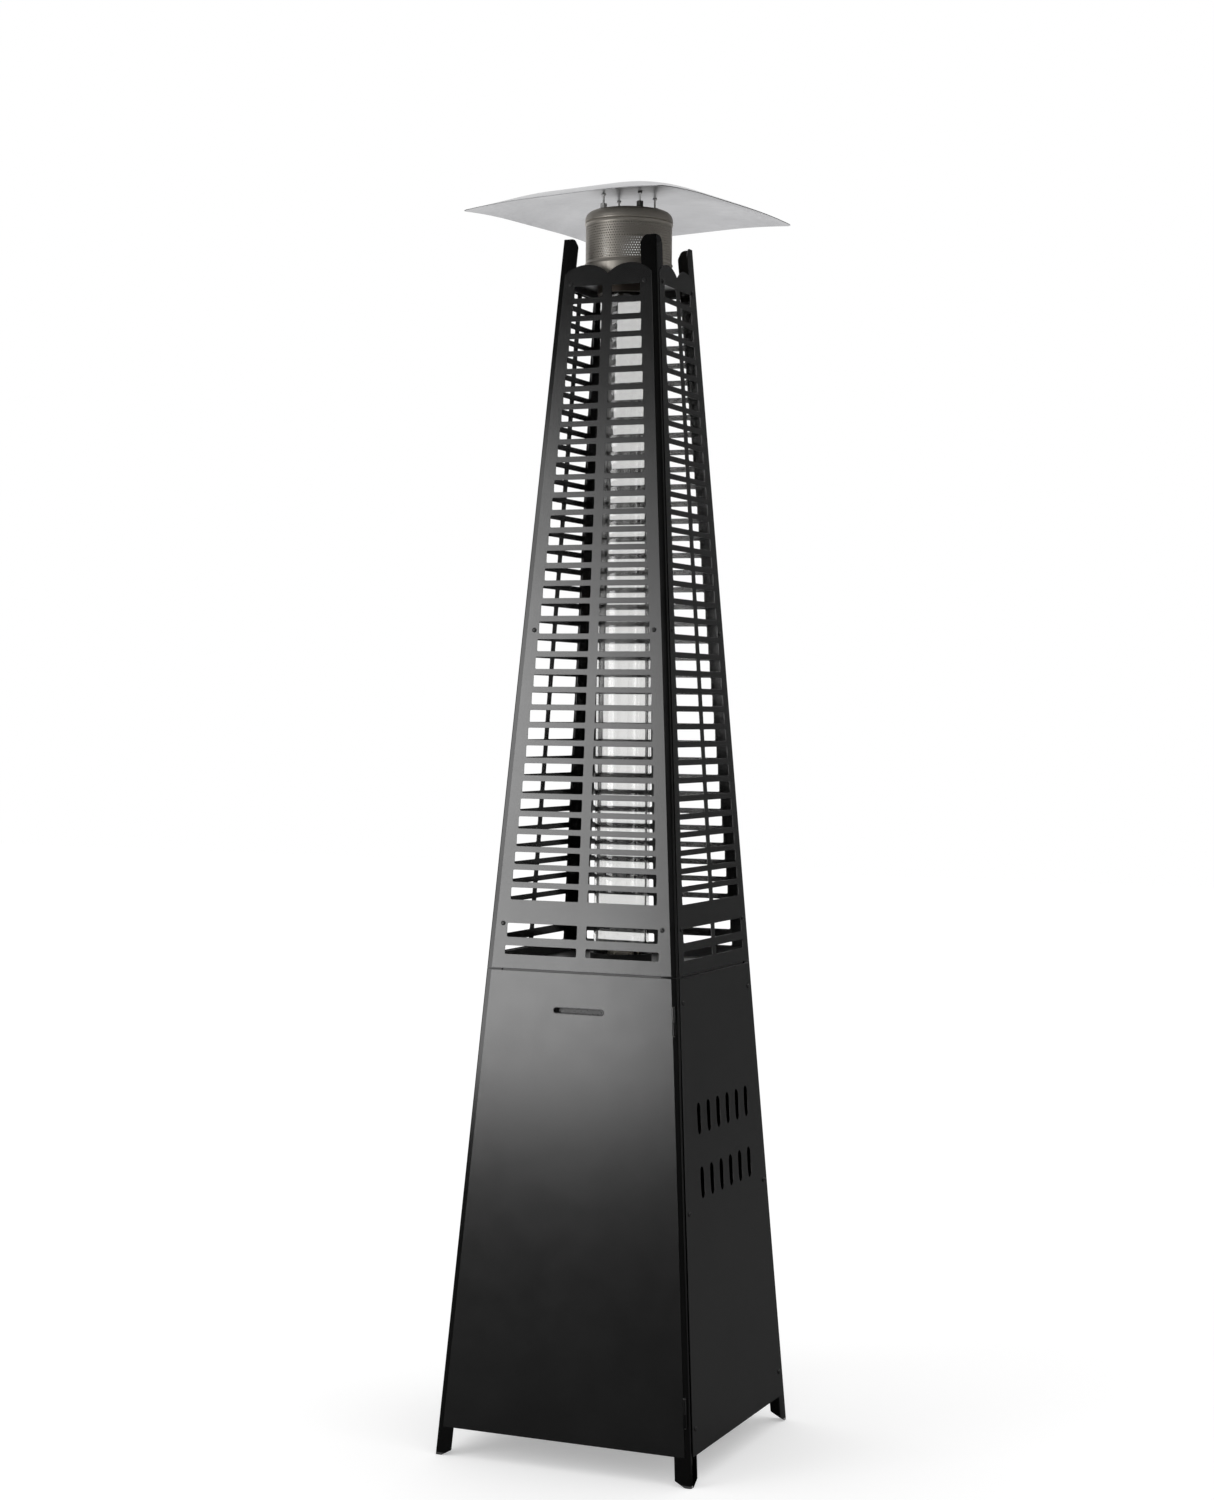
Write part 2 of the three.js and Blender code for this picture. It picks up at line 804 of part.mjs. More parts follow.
function addBurner() {
  const probeRadii = { pilot: pilotRadius, electrode: electrodeRadius, thermocouple: thermocoupleRadius };
  const plateBottom = deckTop + seat;
  const probeHoles = Object.entries(probes).map(([name, angle]) => {
    const drill = rod(probeRadii[name] + seat, plateBottom - overrun, burnerPlateTop + overrun);
    const place = probePlace(angle, 0);
    return drill.translate(place.x, place.y, 0);
  });
  const centreHole = rod(cupRadius + seat, plateBottom - overrun, burnerPlateTop + overrun, midSides);
  const burnerPlate = cut(rod(burnerPlateRadius, plateBottom, burnerPlateTop, roundSides), centreHole, ...probeHoles);
  add('burner_plate', burnerPlate, 'zinc');

  const cup = turned([
    [mixerRadius - mixerWall, cupBottom],
    [cupRadius, cupBottom],
    [cupRadius, burnerPlateTop + seat],
    [cupRadius + cupFlange, burnerPlateTop + seat],
    [cupRadius + cupFlange, burnerPlateTop + seat + cupWall],
    [cupRadius - cupWall, burnerPlateTop + seat + cupWall],
    [cupRadius - cupWall, cupBottom + cupWall],
    [mixerRadius - mixerWall, cupBottom + cupWall],
    [mixerRadius - mixerWall, cupBottom],
  ], midSides);
  add('burner_cup', cup, 'stainless');
  add('burner_head', burnerHead(), 'stainless');
  add('mixing_tube', mixingTube(), 'zinc');

  const jet = join(
    rod(mixerRadius - mixerWall - seat, mixerBottom - seat * 2, mixerBottom + jetSpigot),
    rod(jetRadius + mixerWall, jetBottom, mixerBottom - seat, holeSides),
  );
  add('gas_jet', jet, 'brass');

  const place = (name, geometry) => geometry.translate(...probePlace(probes[name], 0).toArray());
  add('pilot_burner', place('pilot', probe(pilotRadius, pilotRise)), 'brass');
  const wireFoot = burnerPlateTop + seat + electrodeRise;
  const wire = rod(electrodeWire, wireFoot - electrodeWire, wireFoot + electrodeWireLength, holeSides);
  add('ignition_electrode', place('electrode', join(probe(electrodeRadius, electrodeRise), wire)), 'ceramic');
  add('thermocouple', place('thermocouple', probe(thermocoupleRadius, thermocoupleRise)), 'stainless');

  const tiltPlace = halfAt(deckUnder) * tiltPlaceShare;
  const tiltBody = block(tiltWidth, tiltWidth, tiltHeight, tiltPlace, tiltPlace, deckUnder - seat - tiltHeight / 2);
  add('tilt_switch', tiltBody, 'plastic');
}

// Controls: drawn about their own centre on the rear face, with z pointing out of the face
const knobX = -controlWidth * knobPlaceShare;
const igniterX = -knobX;
const valveFront = -plateSheet - seat;
const valveBack = valveFront - valveDepth;
const valveMiddle = (valveFront + valveBack) / 2;
const igniterBack = valveFront - igniterDepth;
const bossEnd = -valveTall / 2 - bossLength;

function addControls() {
  const panel = new THREE.Group();
  panel.position.y = slantedTo(controlsAt);
  rearFace.add(panel);

  const controlPlate = cut(
    block(controlWidth, controlHeight, plateSheet, 0, 0, -plateSheet / 2),
    rod(spindleRadius + spindlePlay * 2, -overrun, overrun).translate(knobX, 0, 0),
    rod(igniterRadius + seat, -overrun, overrun, midSides).translate(igniterX, 0, 0),
  );
  add('control_plate', controlPlate, 'powder', panel);

  const boss = rod(bossRadius, 0, bossLength + overrun);
  const valve = cut(
    join(
      block(valveWidth, valveTall, valveDepth, knobX, 0, valveMiddle),
      boss.clone().translate(knobX, 0, valveBack - bossLength),
      boss.clone().rotateX(-Math.PI / 2).translate(knobX, bossEnd, valveMiddle),
    ),
    rod(spindleRadius + spindlePlay, -spindleReach - spindlePlay, overrun).translate(knobX, 0, 0),
  );
  add('gas_valve', valve, 'brass', panel);

  const barbPitch = inletLength / (inletBarbs + 1);
  const profile = [[inletBore, 0], [inletRadius, 0]];
  for (let barb = 0; barb < inletBarbs; barb += 1) {
    const start = barbPitch * barb;
    profile.push([inletRadius, start + barbPitch / 2], [inletRadius - inletBarb, start + barbPitch / 2]);
    profile.push([inletRadius, start + barbPitch]);
  }
  profile.push([inletRadius + inletBarb, inletBarbs * barbPitch]);
  profile.push([inletRadius + inletBarb, inletLength], [inletBore, inletLength], [inletBore, 0]);
  const inlet = turned(profile, smallSides).rotateX(-Math.PI / 2);
  add('gas_inlet', inlet.translate(knobX, bossEnd - seat - inletLength, valveMiddle), 'brass', panel);

  const knobTop = knobClearance + knobHeight;
  const spindleEnd = knobClearance + spindleGrip;
  add('valve_spindle', rod(spindleRadius, -spindleReach, spindleEnd).translate(knobX, 0, 0), 'zinc', panel);
  const knob = cut(
    join(
      rod(knobRadius + knobSkirt, knobClearance, knobClearance + knobSkirtHeight, midSides),
      rod(knobRadius, knobClearance, knobTop, midSides),
      block(knobGrip, knobRadius * 2 - knobGrip, knobGripRise * 2, 0, 0, knobTop),
    ),
    rod(spindleRadius + seat, knobClearance - overrun, spindleEnd + knobTravel + seat),
  );
  add('control_knob', knob.translate(knobX, 0, 0), 'plastic', panel);

  const igniterTop = seat + igniterFlangeHeight;
  const igniter = cut(
    join(
      rod(igniterRadius, igniterBack, igniterTop, midSides),
      rod(igniterRadius + igniterFlange, seat, igniterTop, midSides),
    ),
    rod(igniterBoreRadius, igniterTop - igniterBoreDepth, igniterTop + overrun, midSides),
  );
  add('igniter_body', igniter.translate(igniterX, 0, 0), 'plastic', panel);
  const headUnder = igniterTop + buttonTravel + seat;
  const button = join(
    rod(igniterBoreRadius - spindlePlay, igniterTop - buttonStem, headUnder + buttonHeadHeight / 2),
    rod(buttonHeadRadius, headUnder, headUnder + buttonHeadHeight, midSides),
  );
  add('igniter_button', button.translate(igniterX, 0, 0), 'plastic', panel);
  return panel;
}

// Pipes and leads from the controls to the burner
function addPipes(panel) {
  panel.updateWorldMatrix(true, false);
  const outward = new THREE.Vector3(0, 0, 1).transformDirection(panel.matrixWorld);
  const at = (x, y, z) => panel.localToWorld(new THREE.Vector3(x, y, z));
  const inward = (start) => start.clone().addScaledVector(outward, -pipeBend);
  const below = (end, drop) => end.clone().setZ(end.z - drop);

  const supplyStart = at(knobX, 0, valveBack - bossLength - seat);
  const supplyEnd = new THREE.Vector3(0, 0, jetBottom - seat);
  const supplyTurn = new THREE.Vector3(0, pipeBend, supplyEnd.z - pipeBend);
  const supply = [supplyStart, inward(supplyStart), supplyTurn, below(supplyEnd, pipeBend / 2), supplyEnd];
  add('supply_pipe', pipeAlong(supply, supplyRadius), 'brass');

  const probeFoot = burnerPlateTop + seat - probeTail - seat;
  const leads = [
    ['pilot_pipe', 'pilot', at(knobX, valveTall / 4, valveBack - seat), pilotPipeRadius, 'brass'],
    ['thermocouple_lead', 'thermocouple', at(knobX, valveTall / 3, valveBack - seat), leadRadius, 'brass'],
    ['igniter_lead', 'electrode', at(igniterX, 0, igniterBack - seat), leadRadius, 'silicone'],
  ];
  for (const [name, probeName, start, radius, finish] of leads) {
    const end = probePlace(probes[probeName], probeFoot);
    const turn = below(end, leadSag);
    add(name, pipeAlong([start, inward(start), turn, end], radius), finish);
  }
}

// Flame screen: a perforated drum with two beads, closed by a cap with a rounded shoulder
function screenProfile() {
  const inner = screenRadius - screenWall;
  const profile = [[inner, screenBottom], [screenRadius, screenBottom]];
  for (const bead of [lowerBead, upperBead]) {
    profile.push([screenRadius, bead - beadHeight / 2]);
    profile.push([screenRadius + beadRise, bead]);
    profile.push([screenRadius, bead + beadHeight / 2]);
  }
  profile.push([screenRadius, screenTop], [inner, screenTop], [inner, screenBottom]);
  return profile;
}

function addScreen() {
  const drills = [];
  const middle = (lowerBead + upperBead) / 2;
  for (let row = 0; row < screenHoleRows; row += 1) {
    const height = middle + (row - (screenHoleRows - 1) / 2) * screenHolePitch;
    for (let facet = row % 2; facet < roundSides / 2; facet += 2) {
      const turn = (facet + 1 / 2) * 2 * Math.PI / roundSides;
      const drill = rod(screenHoleRadius, -screenRadius - overrun, screenRadius + overrun, holeSides);
      drills.push(drill.rotateX(Math.PI / 2).rotateZ(turn).translate(0, 0, height));
    }
  }
  add('flame_screen', cut(turned(screenProfile()), ...drills), 'stainless');

  const outer = screenRadius + seat + screenWall;
  const shoulderAt = capBottom + capSkirt;
  const profile = [[outer - screenWall, capBottom], [outer, capBottom]];
  const insideArc = [];
  for (let step = 0; step <= shoulderSteps; step += 1) {
    const angle = step / shoulderSteps * Math.PI / 2;
    const centre = outer - capShoulder;
    const innerRadius = capShoulder - screenWall;
    profile.push([centre + capShoulder * Math.cos(angle), shoulderAt + capShoulder * Math.sin(angle)]);
    insideArc.unshift([centre + innerRadius * Math.cos(angle), shoulderAt + innerRadius * Math.sin(angle)]);
  }
  profile.push([0, capTop], [0, capTop - screenWall], ...insideArc, [outer - screenWall, capBottom]);
  const stays = studPlaces().map((place) => {
    return rod(shankRadius + shankPlay, capTop - screenWall - overrun, capTop + overrun).translate(place.x, place.y, 0);
  });
  add('screen_cap', cut(turned(profile), ...stays), 'stainless');
}

// Reflector: a square sheet, flat in the middle and drooping to its corners, on four studs
function studPlaces() {
  return cornerNames.map((corner, turns) => {
    const angle = (turns - 1 / 2) * Math.PI / 2;
    return new THREE.Vector3(studCircle * Math.cos(angle), studCircle * Math.sin(angle), 0);
  });
}

function reflectorRise(u, v) {
  const level = (t) => 1 - (Math.max(0, Math.abs(t) - reflectorFlatShare) / (1 - reflectorFlatShare)) ** 2;
  const across = level(u);
  const along = level(v);
  const middle = (reflectorDome - reflectorEdgeRise) * across * along;
  return middle + reflectorEdgeRise * (across + along - across * along);
}

function reflectorSheetBody() {
  const side = reflectorCells + 1;
  const positions = [];
  for (const lift of [0, reflectorSheet]) {
    for (let row = 0; row < side; row += 1) {
      for (let column = 0; column < side; column += 1) {
        const u = column / reflectorCells * 2 - 1;
        const v = row / reflectorCells * 2 - 1;
        const height = reflectorUnder - reflectorDome + reflectorRise(u, v) + lift;
        positions.push(u * reflectorSide / 2, v * reflectorSide / 2, height);
      }
    }
  }
  const top = side * side;
  const indices = [];
  const quad = (a, b, c, d) => indices.push(a, b, c, a, c, d);
  for (let row = 0; row < reflectorCells; row += 1) {
    for (let column = 0; column < reflectorCells; column += 1) {
      const here = row * side + column;
      quad(here, here + side, here + side + 1, here + 1);
      quad(top + here, top + here + 1, top + here + side + 1, top + here + side);
    }
    const last = reflectorCells * side;
    quad(row, row + 1, top + row + 1, top + row);
    quad(last + row + 1, last + row, top + last + row, top + last + row + 1);
    quad((row + 1) * side, row * side, top + row * side, top + (row + 1) * side);
    const right = row * side + reflectorCells;
    quad(right, right + side, top + right + side, top + right);
  }
  const geometry = new THREE.BufferGeometry();
  geometry.setAttribute('position', new THREE.Float32BufferAttribute(positions, 3));
  geometry.setIndex(indices);
  return geometry;
}

function wingNut(foot) {
  const hub = rod(nutRadius, foot, foot + nutHeight);
  const wings = block(wingSpan * 2, wingThickness, nutHeight, 0, 0, foot + wingRise + nutHeight / 2);
  const bore = rod(shankRadius + seat, foot - overrun, foot + wingRise + nutHeight + overrun);
  return cut(join(hub, wings.translate(0, 0, -nutHeight / 4)), bore);
}

function addReflector() {
  const nutFoot = reflectorUnder + reflectorSheet + seat;
  const holes = studPlaces().map((place) => {
    const drill = rod(shankRadius + shankPlay, reflectorUnder - overrun, nutFoot + overrun);
    return drill.translate(place.x, place.y, 0).rotateZ(-reflectorTurn);
  });
  const sheetMesh = add('reflector', cut(reflectorSheetBody(), ...holes), 'mirror');
  sheetMesh.rotation.z = reflectorTurn;
  studPlaces().forEach((place, index) => {
    const stud = join(
      rod(shankRadius, capTop - shankTail, nutFoot + nutHeight),
      rod(footNutRadius, capTop + seat, capTop + seat + footNutHeight, holeSides),
      rod(restRadius, reflectorUnder - seat - restHeight, reflectorUnder - seat),
    );
    add(`reflector_stud_${index + 1}`, stud.translate(place.x, place.y, 0), 'zinc');
    const turn = Math.atan2(place.y, place.x) + Math.PI / 2;
    const nut = wingNut(nutFoot).rotateZ(turn);
    add(`wing_nut_${index + 1}`, nut.translate(place.x, place.y, 0), 'zinc');
  });
}

addPosts();
addGuards();
addPanels();
addTrays();
addDoor();
addHinges();
addCatch();
addTube();
addBurner();
addPipes(addControls());
addScreen();
addReflector();

export default heater;
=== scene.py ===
"""Looks of the pyramid patio heater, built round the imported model. Lengths are in metres, +Z up."""
import math

import bmesh
import bpy
from mathutils import Matrix, Vector
from mathutils.geometry import tessellate_polygon


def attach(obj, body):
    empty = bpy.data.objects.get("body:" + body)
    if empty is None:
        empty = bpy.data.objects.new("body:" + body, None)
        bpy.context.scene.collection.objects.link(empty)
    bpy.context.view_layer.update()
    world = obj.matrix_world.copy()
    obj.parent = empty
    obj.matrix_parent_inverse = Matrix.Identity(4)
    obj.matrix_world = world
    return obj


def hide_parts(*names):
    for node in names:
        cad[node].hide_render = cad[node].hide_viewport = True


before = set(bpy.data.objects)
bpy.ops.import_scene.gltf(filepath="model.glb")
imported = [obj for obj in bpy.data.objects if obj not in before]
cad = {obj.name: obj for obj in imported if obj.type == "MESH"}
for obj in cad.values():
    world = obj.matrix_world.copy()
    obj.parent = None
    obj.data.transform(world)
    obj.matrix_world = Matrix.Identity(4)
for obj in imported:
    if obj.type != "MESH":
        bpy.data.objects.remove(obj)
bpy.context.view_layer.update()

QUARTER = math.pi / 2

# Sizes shared with the CAD source
BASE_HALF = 0.2435
TIP_HALF = 0.089
POST_HEIGHT = 2.162
LEAN = (BASE_HALF - TIP_HALF) / POST_HEIGHT
LEAN_ANGLE = math.atan(LEAN)
POST_FLANGE = 0.030
POST_WALL = 0.002
FOOT_FLAT = 0.012
FOOT_ANGLE = 28
SEAT = 0.0003
SHEET = 0.001
SKIN_MARGIN = 0.010
SEAM = 0.860
SEAM_GAP = 0.004
PANEL_BOTTOM = 0.050
GUARD_TOP = 2.114
ARCH_RISE = 0.017
SLOT_HEIGHT = 0.0214
SLOT_PITCH = 0.0315
SLOT_MARGIN = 0.032
SPINE = 0.018
TOP_SLOT_DROP = 0.049
GUARD_BANDS = {"front": 0.038, "right": 0.038, "rear": 0.008, "left": 0.008}
UPPER_VENT = (0.0695, 0.0246)
LOWER_VENT = (0.0345, 0.0154)
LIP_DEPTH = 0.012
LOUVRE_ROWS = 2
LOUVRE_COLUMNS = 6
LOUVRE_PITCH = 0.047
LOUVRE_ROW_PITCH = 0.111
LOUVRE_WIDTH = 0.018
LOUVRE_HEIGHT = 0.056
LOUVRE_DROP = 0.250
FINGER_WIDTH = 0.095
FINGER_HEIGHT = 0.009
FINGER_DROP = 0.067
PAN_LOW = 0.077
PAN_HIGH = 0.817
PAN_MARGIN = 0.032
PAN_DEPTH = 0.014
KNUCKLE_RADIUS = 0.0032
KNUCKLE_BORE = 0.0018
KNUCKLE_LENGTH = 0.024
HINGE_HEIGHTS = {"upper": 0.785, "lower": 0.125}
CONTROLS_AT = 0.775
CONTROL_REACH = 0.062
CONTROL_RISE = 0.027
KNOB_X = -0.030
KNOB_FOOT = 0.004
KNOB_TOP = 0.022
KNOB_RADIUS = 0.019
KNOB_SKIRT = 0.003
KNOB_GRIP = (0.006, 0.032, 0.027)
SPINDLE_HOLE_RADIUS = 0.0033
SPINDLE_HOLE_END = 0.0183
DRUM_RADIUS = 0.078
DRUM_WALL = 0.001
DRUM_BOTTOM = 2.0923
DRUM_TOP = 2.2043
BEADS = (2.1243, 2.1973)
BEAD_HALF = 0.003
BEAD_RISE = 0.0018
CAP_BOTTOM = 2.2006
CAP_RADIUS = 0.0793
CAP_TOP = 2.2206
CAP_SHOULDER = 0.016
STUD_CIRCLE = 0.050
STUD_RADIUS = 0.0025
STUD_HEIGHT = 0.029
REFLECTOR_UNDER = CAP_TOP + STUD_HEIGHT
REFLECTOR_SHEET = 0.0012
REFLECTOR_HALF = 0.215
REFLECTOR_TURN = math.radians(-11.5)
REFLECTOR_DOME = 0.040
REFLECTOR_EDGE_RISE = 0.007
REFLECTOR_FLAT = 1 / 3
TUBE_RADIUS = 0.050
TUBE_WALL = 0.0025
TUBE_BOTTOM = 0.8681
TUBE_TOP = 2.102
SIDES = ("front", "right", "rear", "left")
CORNERS = ("front_right", "rear_right", "rear_left", "front_left")


def half_at(z):
    return BASE_HALF - LEAN * z


def slanted(z):
    return z / math.cos(LEAN_ANGLE)


def face_matrix(turns):
    """Face-local frame of a side: x right seen from outside, y up the slope, z outward."""
    return (
        Matrix.Rotation(turns * QUARTER, 4, "Z")
        @ Matrix.Translation((0, -BASE_HALF, 0))
        @ Matrix.Rotation(QUARTER - LEAN_ANGLE, 4, "X")
    )


# Meshes
SMOOTH_ANGLE = math.radians(35)
CAD_SMOOTH_ANGLE = math.radians(40)
MITRE_LIMIT = 0.3


def shade(bm, angle):
    """Smooth faces that are split along the edges sharper than the angle."""
    bmesh.ops.recalc_face_normals(bm, faces=bm.faces)
    bm.normal_update()
    for face in bm.faces:
        face.smooth = True
    for edge in bm.edges:
        edge.smooth = len(edge.link_faces) == 2 and edge.calc_face_angle(0) < angle


def placed(name, data):
    """A new object in the scene."""
    made = bpy.data.objects.new(name, data)
    bpy.context.scene.collection.objects.link(made)
    return made


def new_piece(name, bm, material, body="frame", stands_for=(), angle=SMOOTH_ANGLE):
    shade(bm, angle)
    mesh = bpy.data.meshes.new(name)
    bm.to_mesh(mesh)
    bm.free()
    mesh.materials.append(material)
    piece = placed(name, mesh)
    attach(piece, body)
    if stands_for:
        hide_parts(*stands_for)
    return piece


def polar(radius, angle):
    return radius * math.cos(angle), radius * math.sin(angle)


def bridge(bm, lower, upper):
    """Faces between two closed rings of as many vertices."""
    count = len(lower)
    for i in range(count):
        j = (i + 1) % count
        bm.faces.new((lower[i], lower[j], upper[j], upper[i]))


def grid_faces(bm, over, under):
    """Faces of two equal grids back to back. Returns the places round their rim, in order."""
    rows, columns = len(over) - 1, len(over[0]) - 1
    for j in range(rows):
        for i in range(columns):
            bm.faces.new((over[j][i], over[j][i + 1], over[j + 1][i + 1], over[j + 1][i]))
            bm.faces.new((under[j][i], under[j + 1][i], under[j + 1][i + 1], under[j][i + 1]))
    rim = [(0, i) for i in range(columns)] + [(j, columns) for j in range(rows)]
    return rim + [(rows, i) for i in range(columns, 0, -1)] + [(j, 0) for j in range(rows, 0, -1)]


def shifted_loop(loop, distance):
    """The loop moved sideways by the distance, to the left of its direction of travel."""
    moved = []
    count = len(loop)
    for i, here in enumerate(loop):
        before = (here - loop[i - 1]).normalized()
        after = (loop[(i + 1) % count] - here).normalized()
        across = Vector((-before.y - after.y, before.x + after.x))
        across.normalize()
        reach = max(MITRE_LIMIT, across.dot(Vector((-before.y, before.x))))
        moved.append(here + across * (distance / reach))
    return moved


def sheet_body(bm, outer, holes, low, high, edge, matrix):
    """A flat sheet with eased edges. Its outline runs anticlockwise, its holes clockwise."""
    loops = [outer, *holes]
    eased = [shifted_loop(loop, edge) for loop in loops]
    levels = ((eased, low), (loops, low + edge), (loops, high - edge), (eased, high))
    rings = [
        [[bm.verts.new(matrix @ Vector((p.x, p.y, level))) for p in loop] for loop in level_loops]
        for level_loops, level in levels
    ]
    for k in range(len(loops)):
        for lower, upper in zip(rings, rings[1:]):
            bridge(bm, lower[k], upper[k])
    for ring in (rings[0], rings[-1]):
        flat = [v for loop in ring for v in loop]
        for a, b, c in tessellate_polygon([[p.to_3d() for p in loop] for loop in eased]):
            bm.faces.new((flat[a], flat[b], flat[c]))


def rounded_rectangle(left, right, low, high, radius, steps=3):
    """Clockwise, as a hole."""
    points = []
    corners = ((right, low, -90), (right, high, 0), (left, high, 90), (left, low, 180))
    for x, y, start in corners:
        cx = x - math.copysign(radius, x - (left + right) / 2)
        cy = y - math.copysign(radius, y - (low + high) / 2)
        for step in range(steps + 1):
            x, y = polar(radius, math.radians(start + 90 * step / steps))
            points.append(Vector((cx + x, cy + y)))
    return points[::-1]


def lathe(bm, profile, sides, matrix=Matrix.Identity(4)):
    """A body turned about Z from (radius, height) pairs. Points on the axis are shared."""
    rings = []
    angles = [math.tau * i / sides for i in range(sides)]
    for radius, height in profile:
        if radius == 0:
            rings.append([bm.verts.new(matrix @ Vector((0, 0, height)))])
            continue
        rings.append([bm.verts.new(matrix @ Vector((*polar(radius, a), height))) for a in angles])
    for lower, upper in zip(rings, rings[1:]):
        for i in range(sides):
            j = (i + 1) % sides
            places = ((lower, i), (lower, j), (upper, j), (upper, i))
            corners = list(dict.fromkeys(ring[place % len(ring)] for ring, place in places))
            if len(corners) > 2:
                bm.faces.new(corners)


def washer(bore, radius, face, low, high, ease):
    """Section of a turned ring whose outer edges are eased down to the radius of its flat faces."""
    outside = [(face, low), (radius, low + ease), (radius, high - ease), (face, high)]
    return [(bore, low), *outside, (bore, high)]


# Materials
COAT_IOR = 1.6
GLASS_IOR = 1.46
DARKENING_START = 1.35
FAINT_BUMP = 0.00001
NOISE_LOW = 0.3
NOISE_HIGH = 0.7


class Finish:
    """A node material around one Principled shader, with textures in object coordinates."""

    def __init__(self, name, **sockets):
        self.material = bpy.data.materials.new(name)
        self.material.use_nodes = True
        self.tree = self.material.node_tree
        self.shader = self.tree.nodes["Principled BSDF"]
        for socket, value in sockets.items():
            self.shader.inputs[socket.replace("_", " ")].default_value = value
        self.place = self.node("ShaderNodeTexCoord").outputs["Object"]

    def node(self, kind, **values):
        made = self.tree.nodes.new(kind)
        for key, value in values.items():
            if hasattr(made, key):
                setattr(made, key, value)
            else:
                made.inputs[key.replace("_", " ")].default_value = value
        return made

    def link(self, source, target):
        self.tree.links.new(source, target)

    def noise(self, scale, detail=2.0, stretch=(1, 1, 1)):
        mapping = self.node("ShaderNodeMapping", Scale=stretch)
        made = self.node("ShaderNodeTexNoise", Scale=scale, Detail=detail)
        self.link(self.place, mapping.inputs["Vector"])
        self.link(mapping.outputs["Vector"], made.inputs["Vector"])
        return made.outputs["Fac"]

    def spread(self, value, low, high, from_low=NOISE_LOW, from_high=NOISE_HIGH):
        """The value carried from one range, which is a noise texture's unless named, to another."""
        made = self.node("ShaderNodeMapRange", From_Min=from_low, From_Max=from_high)
        made.inputs["To Min"].default_value = low
        made.inputs["To Max"].default_value = high
        self.link(value, made.inputs["Value"])
        return made.outputs["Result"]

    def blend(self, value, first, second, from_low=NOISE_LOW, from_high=NOISE_HIGH):
        """A colour between two, by where the value lies in its range."""
        ramp = self.node("ShaderNodeValToRGB")
        ends = ((from_low, first), (from_high, second))
        for element, (place, colour) in zip(ramp.color_ramp.elements, ends):
            element.position = place
            element.color = (*colour, 1)
        self.link(value, ramp.inputs["Fac"])
        return ramp.outputs["Color"]

    def sum(self, first, second):
        made = self.node("ShaderNodeMath", operation="ADD")
        self.link(first, made.inputs[0])
        self.link(second, made.inputs[1])
        return made.outputs["Value"]

    def colour(self, source):
        self.link(source, self.shader.inputs["Base Color"])

    def rough(self, source):
        self.link(source, self.shader.inputs["Roughness"])

    def bump(self, height, distance):
        made = self.node("ShaderNodeBump", Strength=1.0, Distance=distance)
        self.link(height, made.inputs["Height"])
        self.link(made.outputs["Normal"], self.shader.inputs["Normal"])


def powder_coat(name, dark, light, rough, peel=0.00004, level=1.0):
    """Black powder coat: fine orange peel, cloudy gloss and a little dust in the colour."""
    made = Finish(name, Metallic=0.0, IOR=COAT_IOR, Specular_IOR_Level=level)
    made.colour(made.blend(made.noise(scale=7, detail=4), dark, light))
    made.rough(made.spread(made.noise(scale=23, detail=3), low=rough - 0.01, high=rough + 0.012))
    made.bump(made.noise(scale=900), distance=peel)
    return made.material


def bare_metal(name, dark, light, rough, brushed=(1, 1, 1), grain=600, depth=0.00003, metallic=1.0):
    """Bare metal with a grain that runs along the axis whose stretch is least."""
    made = Finish(name, Metallic=metallic)
    made.colour(made.blend(made.noise(scale=11, detail=3), dark, light))
    lines = made.noise(scale=grain, detail=3, stretch=brushed)
    made.rough(made.spread(lines, low=rough - 0.06, high=rough + 0.08))
    made.bump(lines, distance=depth)
    return made.material


def moulded(name, dark, light, rough, level=0.4):
    """Moulded plastic, rubber or ceramic with a fine skin."""
    made = Finish(name, Metallic=0.0, Specular_IOR_Level=level)
    made.colour(made.blend(made.noise(scale=40, detail=3), dark, light))
    made.rough(made.spread(made.noise(scale=220), low=rough - 0.05, high=rough + 0.05))
    made.bump(made.noise(scale=1500), distance=0.00003)
    return made.material


def quartz():
    """Heat-proof glass, clear at the foot and darker towards its top, faintly clouded and wavy."""
    made = Finish("quartz", IOR=GLASS_IOR, Transmission_Weight=1.0)
    axes = made.node("ShaderNodeSeparateXYZ")
    made.link(made.place, axes.inputs["Vector"])
    darkening = made.spread(axes.outputs["Z"], 0, 1, from_low=DARKENING_START, from_high=TUBE_TOP)
    cloud = made.spread(made.noise(scale=6, detail=3, stretch=(1, 1, 0.2)), low=0, high=0.3)
    clear, darker = (0.87, 0.87, 0.865), (0.77, 0.77, 0.765)
    made.colour(made.blend(made.sum(darkening, cloud), clear, darker, from_low=0, from_high=1))
    streaks = made.noise(scale=30, detail=3, stretch=(1, 1, 0.3))
    made.rough(made.spread(streaks, low=0.01, high=0.05))
    made.bump(made.noise(scale=14, detail=1, stretch=(1, 1, 0.1)), distance=0.00006)
    return made.material


